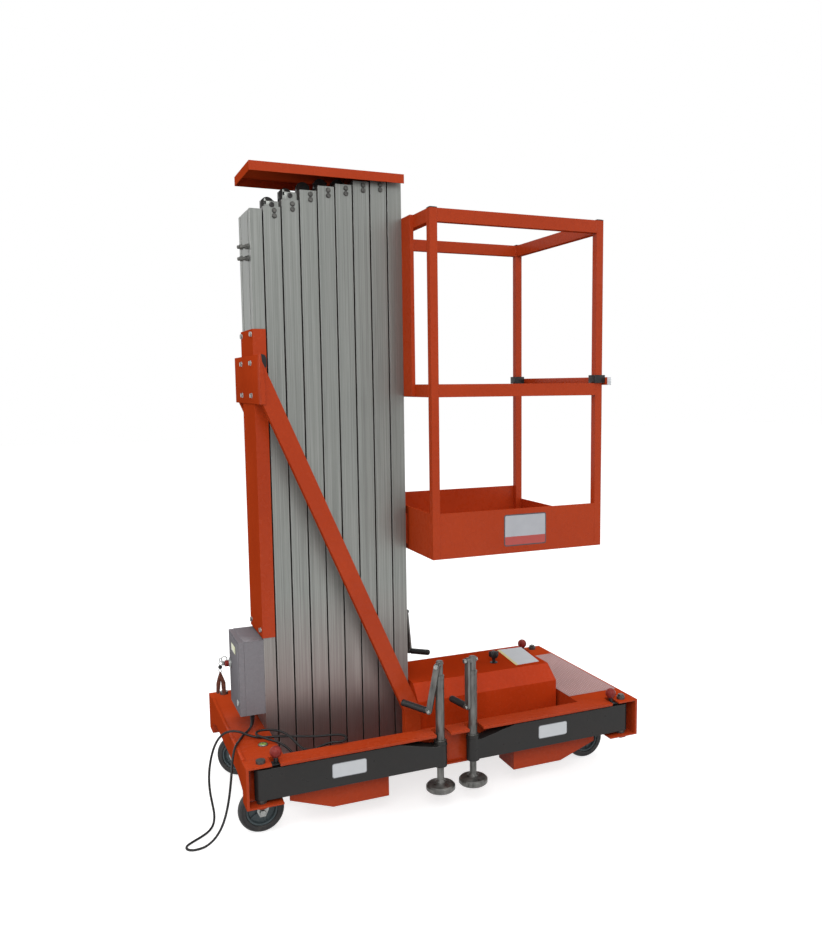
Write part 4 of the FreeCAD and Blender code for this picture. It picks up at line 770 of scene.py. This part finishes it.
plate_white = mottled("plate_white", 22, 5, (0.52, 0.54, 0.57), (0.62, 0.64, 0.66), Roughness=0.32,
                      Coat_Weight=0.3, Coat_Roughness=0.08)
plate_edge = mottled("plate_edge", 60, 3, (0.2, 0.21, 0.23), (0.28, 0.29, 0.31), Roughness=0.4,
                     Coat_Weight=0.2)
JACK_X, PIVOT_Y = 0.057, 0.32
ARM_FACE = 0.34
for end, side, u, v in CORNERS:
    x = -0.361 if end == "left" else 0.3405
    body = f"arm_{end}_{side}"
    label(bm, on_side(x, v * ARM_FACE, 0.2045, v), 0.108, 0.045, 0.007, -0.0002, 0.0006)
    build(f"arm_plate_rim_{end}_{side}", bm, plate_edge, body)
    label(bm, on_side(x, v * ARM_FACE, 0.2045, v), 0.1045, 0.0415, 0.0055, 0.0004, 0.0009)
    build(f"arm_plate_face_{end}_{side}", bm, plate_white, body)
    points = [Vector((u * JACK_X + 0.0212 * cos(a), v * PIVOT_Y + 0.0212 * sin(a), 0.2192))
              for a in (pi * (0.5 + k / 24) + (pi if u < 0 else 0) for k in range(25))]
    sleeve_along(bm, points, [0.0016 + 0.0004 * (k % 2) for k in range(25)], 8)
    build(f"arm_sleeve_weld_{end}_{side}", bm, charcoal, body, sharp=80)

for v in (-1, 1):
    hex_bolt(bm, (0.622, v * 0.32, 0.2708), (0, 0, 1), 19, 6.5, 0.3 * v)
build("pivot_bolt_heads", bm, dull_steel)

# Lock pins
# A dark red moulded ball with shallow flutes on a steel pin, in a black rubber boot over its plate. One
# stands beside each pivot, and drops into the arm to hold it folded or spread.

BALL_RADIUS, BALL_Z = 0.0178, 0.289
pins = [(u * 0.578, v * 0.324) for end, side, u, v in CORNERS]
for x, y in pins:
    middle = Matrix.Translation((x, y, BALL_Z))
    belt = [ring_of(bm, middle, lambda a: BALL_RADIUS * sin(pitch) * (1 - 0.035 * sin(pitch) * (1 - cos(12 * a)) / 2),
                    -BALL_RADIUS * cos(pitch), 48) for pitch in (pi * j / 16 for j in range(1, 16))]
    skin(bm, [ring_of(bm, middle, 0, -BALL_RADIUS, 1), *belt, ring_of(bm, middle, 0, BALL_RADIUS, 1)])
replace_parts(build("lock_pin_balls", bm, red_plastic, sharp=80), "lock_pins")
for x, y in pins:
    slab(bm, (x - 0.022, y - 0.013, DECK_TOP - 0.0088), (x + 0.022, y + 0.013, DECK_TOP - 0.0053), 0.0012)
    lathe(bm, [(0, -10), (5.8, -10), (6.8, -5), (6.2, 0), (7.4, 3), (6.6, 6), (7.6, 9), (6, 11.2), (0, 11.2)],
          facing((x, y, DECK_TOP)), 28)
build("lock_pin_boots", bm, plastic, sharp=50)

# Screw jacks
# Ground steel tubes with a folding crank at the top and a forged foot on a ball end, all in thin grey paint
# that is rubbed and greasy. The crank is a flat bar on a pin, and its grip is ribbed black rubber.

jack_grey, tree, shader = new_material("jack_paint", Metallic=0.55)
streaks = noise(tree, 1, 6, (60, 60, 14))
worn = tinted(tree, band(tree, streaks, 0.35, 0.68), (0.066, 0.066, 0.062), (0.17, 0.168, 0.16))
edges = placed(tree, rounded_edges, Radius=0.0012, Relief_Size=350, Relief_Depth=0.00012)
lightened_edges = tinted(tree, band(tree, edges["Edge"], 0.2, 1, 0, 0.5), worn, (0.27, 0.265, 0.25))
dust = placed(tree, settled_dust, Amount=0.22, High=0.35, Size=30)["Mask"]
wire(shader, Base_Color=tinted(tree, dust, lightened_edges, (0.15, 0.135, 0.115)),
     Roughness=band(tree, streaks, 0.3, 0.7, 0.24, 0.46), Normal=edges["Normal"])

CRANK_TURN = {("left", "near"): (-45, 11), ("right", "near"): (-80, 0), ("left", "far"): (60, 4),
              ("right", "far"): (120, 6)}
CRANK_TOP, CRANK_ARM, CRANK_BACK, CRANK_FACE = 0.478, 0.152, 0.015, 0.024
for end, side, u, v in CORNERS:
    name, body = f"{end}_{side}", f"arm_{end}_{side}"
    coat_nodes(jack_grey, f"jack_{name}", f"jack_leg_{name}")
    turn, lean = CRANK_TURN[end, side]
    foot = (u * JACK_X, v * PIVOT_Y, 0)
    crank = (Matrix.Translation((*foot[:2], CRANK_TOP)) @ Matrix.Rotation(radians(turn), 4, "Z")
             @ Matrix.Rotation(radians(lean), 4, "Y"))
    grip = (crank @ Matrix.Translation((-0.011, -(CRANK_BACK + CRANK_FACE) / 2, -CRANK_ARM))
            @ Matrix.Rotation(-pi / 2, 4, "Y"))
    ribs = [(radius, height + 5.8 * k) for k in range(12)
            for radius, height in ((10.8, 6), (9.7, 7.8), (9.7, 8.8), (10.8, 10.6))]
    lathe(bm, [(0, 0), (10.4, 0), (11, 1.5), *ribs, (10.8, 79), (9.8, 83), (6, 84.6), (0, 85)], grip, 28)
    build(f"crank_grip_{name}", bm, plastic, body, sharp=50)
    out = crank.to_3x3() @ Vector((0, -1, 0))
    hex_bolt(bm, crank @ Vector((0, -CRANK_FACE - 0.0042, 0)), out, 13, 5, 0.4)
    hex_bolt(bm, crank @ Vector((0, -CRANK_FACE, -CRANK_ARM)), out, 10, 4, 0.1)
    hex_bolt(bm, crank @ Vector((0, 0.0108, 0)), -out, 13, 5, 0.2)
    build(f"crank_bolts_{name}", bm, zinc, body)
    lathe(bm, [(14.1, 430), (14.6, 430.8), (14.8, 442), (14.2, 443.6), (10.8, 444)], facing(foot), 40)
    lathe(bm, [(10.8, 487), (10.8, 488.2), (9.6, 489.4), (4, 489.8), (0, 489.8)], facing(foot), 40)
    build(f"jack_collar_{name}", bm, jack_grey, body)

# Platform
# A basket of square steel tube with folded kick plates, a sheet floor on ribs and a back panel bolted to
# the last mast section. Black plastic caps close the posts, and its sign plate is left blank.

BASKET_LEFT, BASKET_RIGHT, BASKET_SIDE, BASKET_TOP, POST = -0.064, 0.548, 0.296, 1.875, 0.025
RAIL_LEVELS, KICK_LEVELS = ((1.835, 1.873), (1.31, 1.35)), (0.807, 0.947)
# A slightly darker copy of the frame's orange, as painted shade on the platform and its entry bar.
basket_paint = sprayed_paint("platform_enamel", (0.42, 0.047, 0.0105), (0.375, 0.039, 0.0085), (0.52, 0.095, 0.034),
                             gloss=0.28, dust=0.06, edge=0.4)
coat_nodes(basket_paint, "basket_frame", "kick_plates", "basket_floor", "back_panel", "basket_mounts")
for x in (BASKET_LEFT, BASKET_RIGHT - POST):
    for v in (-1, 1):
        y = min(v * BASKET_SIDE, v * (BASKET_SIDE - POST))
        for inset, low, high, rounding in ((-0.0004, -0.0002, 0.003, 0.0012), (0.004, 0.0028, 0.0042, 0.0006)):
            slab(bm, (x + inset, y + inset, BASKET_TOP + low),
                 (x + POST - inset, y + POST - inset, BASKET_TOP + high), rounding)
build("post_caps", bm, plastic, "carriage")

for v in (-1, 1):
    for x in (BASKET_LEFT + POST, BASKET_RIGHT - POST):
        for levels, radius in ((RAIL_LEVELS[0], 0.0015), (RAIL_LEVELS[1], 0.0015), (KICK_LEVELS, 0.0013)):
            weld(bm, *((x, v * 0.2955, z) for z in levels), radius)
    for x, all_levels in ((BASKET_LEFT + 0.0005, (*RAIL_LEVELS, KICK_LEVELS)),
                          (BASKET_RIGHT - 0.0005, (RAIL_LEVELS[0], (0.807, 0.896)))):
        for levels in all_levels:
            weld(bm, *((x, v * 0.271, z) for z in levels), 0.0014)
build("basket_welds", bm, basket_paint, "carriage", sharp=80)

low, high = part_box("basket_mounts")
for side in (-1, 1):
    for z in (low.z + 0.02, high.z - 0.02):
        hex_bolt(bm, (BASKET_LEFT + 0.004, side * 0.05, z), (1, 0, 0), turn=0.2)
build("mount_bolts", bm, zinc, "carriage")

SIGN_AT = (0.26, -BASKET_SIDE, 0.8795)
sign_dark = mottled("sign_border", 50, 3, (0.03, 0.028, 0.035), (0.06, 0.055, 0.065), Roughness=0.4,
                    Coat_Weight=0.2)
sign_print, tree, shader = new_material("sign_fields", Roughness=0.3, Coat_Weight=0.3, Coat_Roughness=0.08)
faded = noise(tree, 30, 5)
red = tinted(tree, faded, (0.36, 0.03, 0.022), (0.44, 0.05, 0.038))
pale = tinted(tree, faded, (0.36, 0.37, 0.4), (0.46, 0.47, 0.5))
wire(shader, Base_Color=tinted(tree, band(tree, parts_of_place(tree)["Z"], 0.8585, 0.8592), red, pale))
label(bm, on_side(*SIGN_AT, -1), 0.154, 0.103, 0.008, -0.0002, 0.0006)
build("kick_sign_border", bm, sign_dark, "carriage")
label(bm, on_side(*SIGN_AT, -1), 0.147, 0.096, 0.005, 0.0004, 0.0009)
build("kick_sign_face", bm, sign_print, "carriage")

# Entry bar
# A flat orange bar across the platform's entry, on two black nylon collars that slide up its posts. Its
# ends are closed with pale turned-over caps, and it is bolted to the collars.

GATE_LOW, GATE_HIGH = 1.3503, 1.3763
for v in (-1, 1):
    inner, outer = 0.2695, 0.2975
    for x0, x1, y0, y1 in ((0.5155, 0.5215, 0.2635, 0.3035), (0.5495, 0.5555, 0.2635, 0.3035),
                           (0.5205, 0.5505, 0.2635, inner), (0.5205, 0.5505, outer, 0.3035)):
        slab(bm, (x0, v * y0, GATE_LOW), (x1, v * y1, GATE_HIGH), 0.0012)
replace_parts(build("gate_collars", bm, plastic, "gate"), "gate_bar")
slab(bm, (0.5557, -0.3165, GATE_LOW - 0.0068), (0.5693, 0.3165, GATE_HIGH - 0.0072), 0.0022, segments=3)
build("gate_cross_bar", bm, basket_paint, "gate")
for v in (-1, 1):
    slab(bm, (0.5556, v * 0.3168 - 0.0012, GATE_LOW - 0.007), (0.5695, v * 0.3168 + 0.0012, GATE_HIGH - 0.007),
         0.0008)
build("gate_end_caps", bm, plate_white, "gate")
for v in (-1, 1):
    for z in (GATE_LOW + 0.001, GATE_LOW + 0.012):
        hex_bolt(bm, (0.5693, v * 0.2835, z), (1, 0, 0), 9, 3.6, 0.3)
build("gate_bolts", bm, zinc, "gate")

# Floor, lamps and surroundings
# A plain white studio floor under large soft lamps: one in front, one above, one to each side. The floor
# and the surroundings are shown white, and light the object less than they show.

floor_mesh = bpy.data.meshes.new("studio_floor")
floor_mesh.from_pydata([(-20, -20, 0), (20, -20, 0), (20, 20, 0), (-20, 20, 0)], [], [(0, 1, 2, 3)])
floor = bpy.data.objects.new("studio_floor", floor_mesh)
scene.collection.objects.link(floor)
paper = bpy.data.materials.new("studio_paper")
AMBIENT, FLOOR_GLOW = 0.5, 0.72
world = bpy.data.worlds.new("studio")
scene.world = world
for owner in (paper, world):
    owner.use_nodes = True
    tree = owner.node_tree
    tree.nodes.clear()
    seen = add(tree, "LightPath").outputs
    shown = maths(tree, "MAXIMUM", seen["Is Camera Ray"], seen["Is Glossy Ray"])
    if owner is paper:
        pale = tinted(tree, shown, (0.36, 0.36, 0.36), (0.6, 0.6, 0.6))
        diffuse = add(tree, "BsdfDiffuse", {"Color": pale}).outputs[0]
        glow = add(tree, "Emission", {"Color": (1, 1, 1, 1), "Strength": band(tree, shown, 0, 1, 0, FLOOR_GLOW)})
        both = add(tree, "AddShader", {0: diffuse, 1: glow.outputs[0]}).outputs[0]
        add(tree, "OutputMaterial", {"Surface": both})
    else:
        shown = maths(tree, "MAXIMUM", shown, seen["Is Transmission Ray"])
        strength = band(tree, shown, 0, 1, AMBIENT, 1)
        background = add(tree, "Background", {"Color": (1, 1, 1, 1), "Strength": strength}).outputs[0]
        add(tree, "OutputWorld", {"Surface": background})
floor_mesh.materials.append(paper)

for name, place, aim_height, size, watts in (
        ("lamp_front", (-2.2, -5.6, 4.4), 0.9, 3.2, 205), ("lamp_left", (-5, -1.2, 3), 1, 2.6, 62),
        ("lamp_above", (0.8, 0.8, 13), 1, 8, 700), ("lamp_right", (4.6, -3, 2.6), 1, 2.6, 50)):
    light = bpy.data.lights.new(name, "AREA")
    light.size, light.energy = size, watts
    lamp = bpy.data.objects.new(name, light)
    lamp.location = place
    lamp.rotation_euler = (Vector((0, 0, aim_height)) - Vector(place)).to_track_quat("-Z", "Y").to_euler()
    scene.collection.objects.link(lamp)
scene.view_settings.view_transform = "Standard"
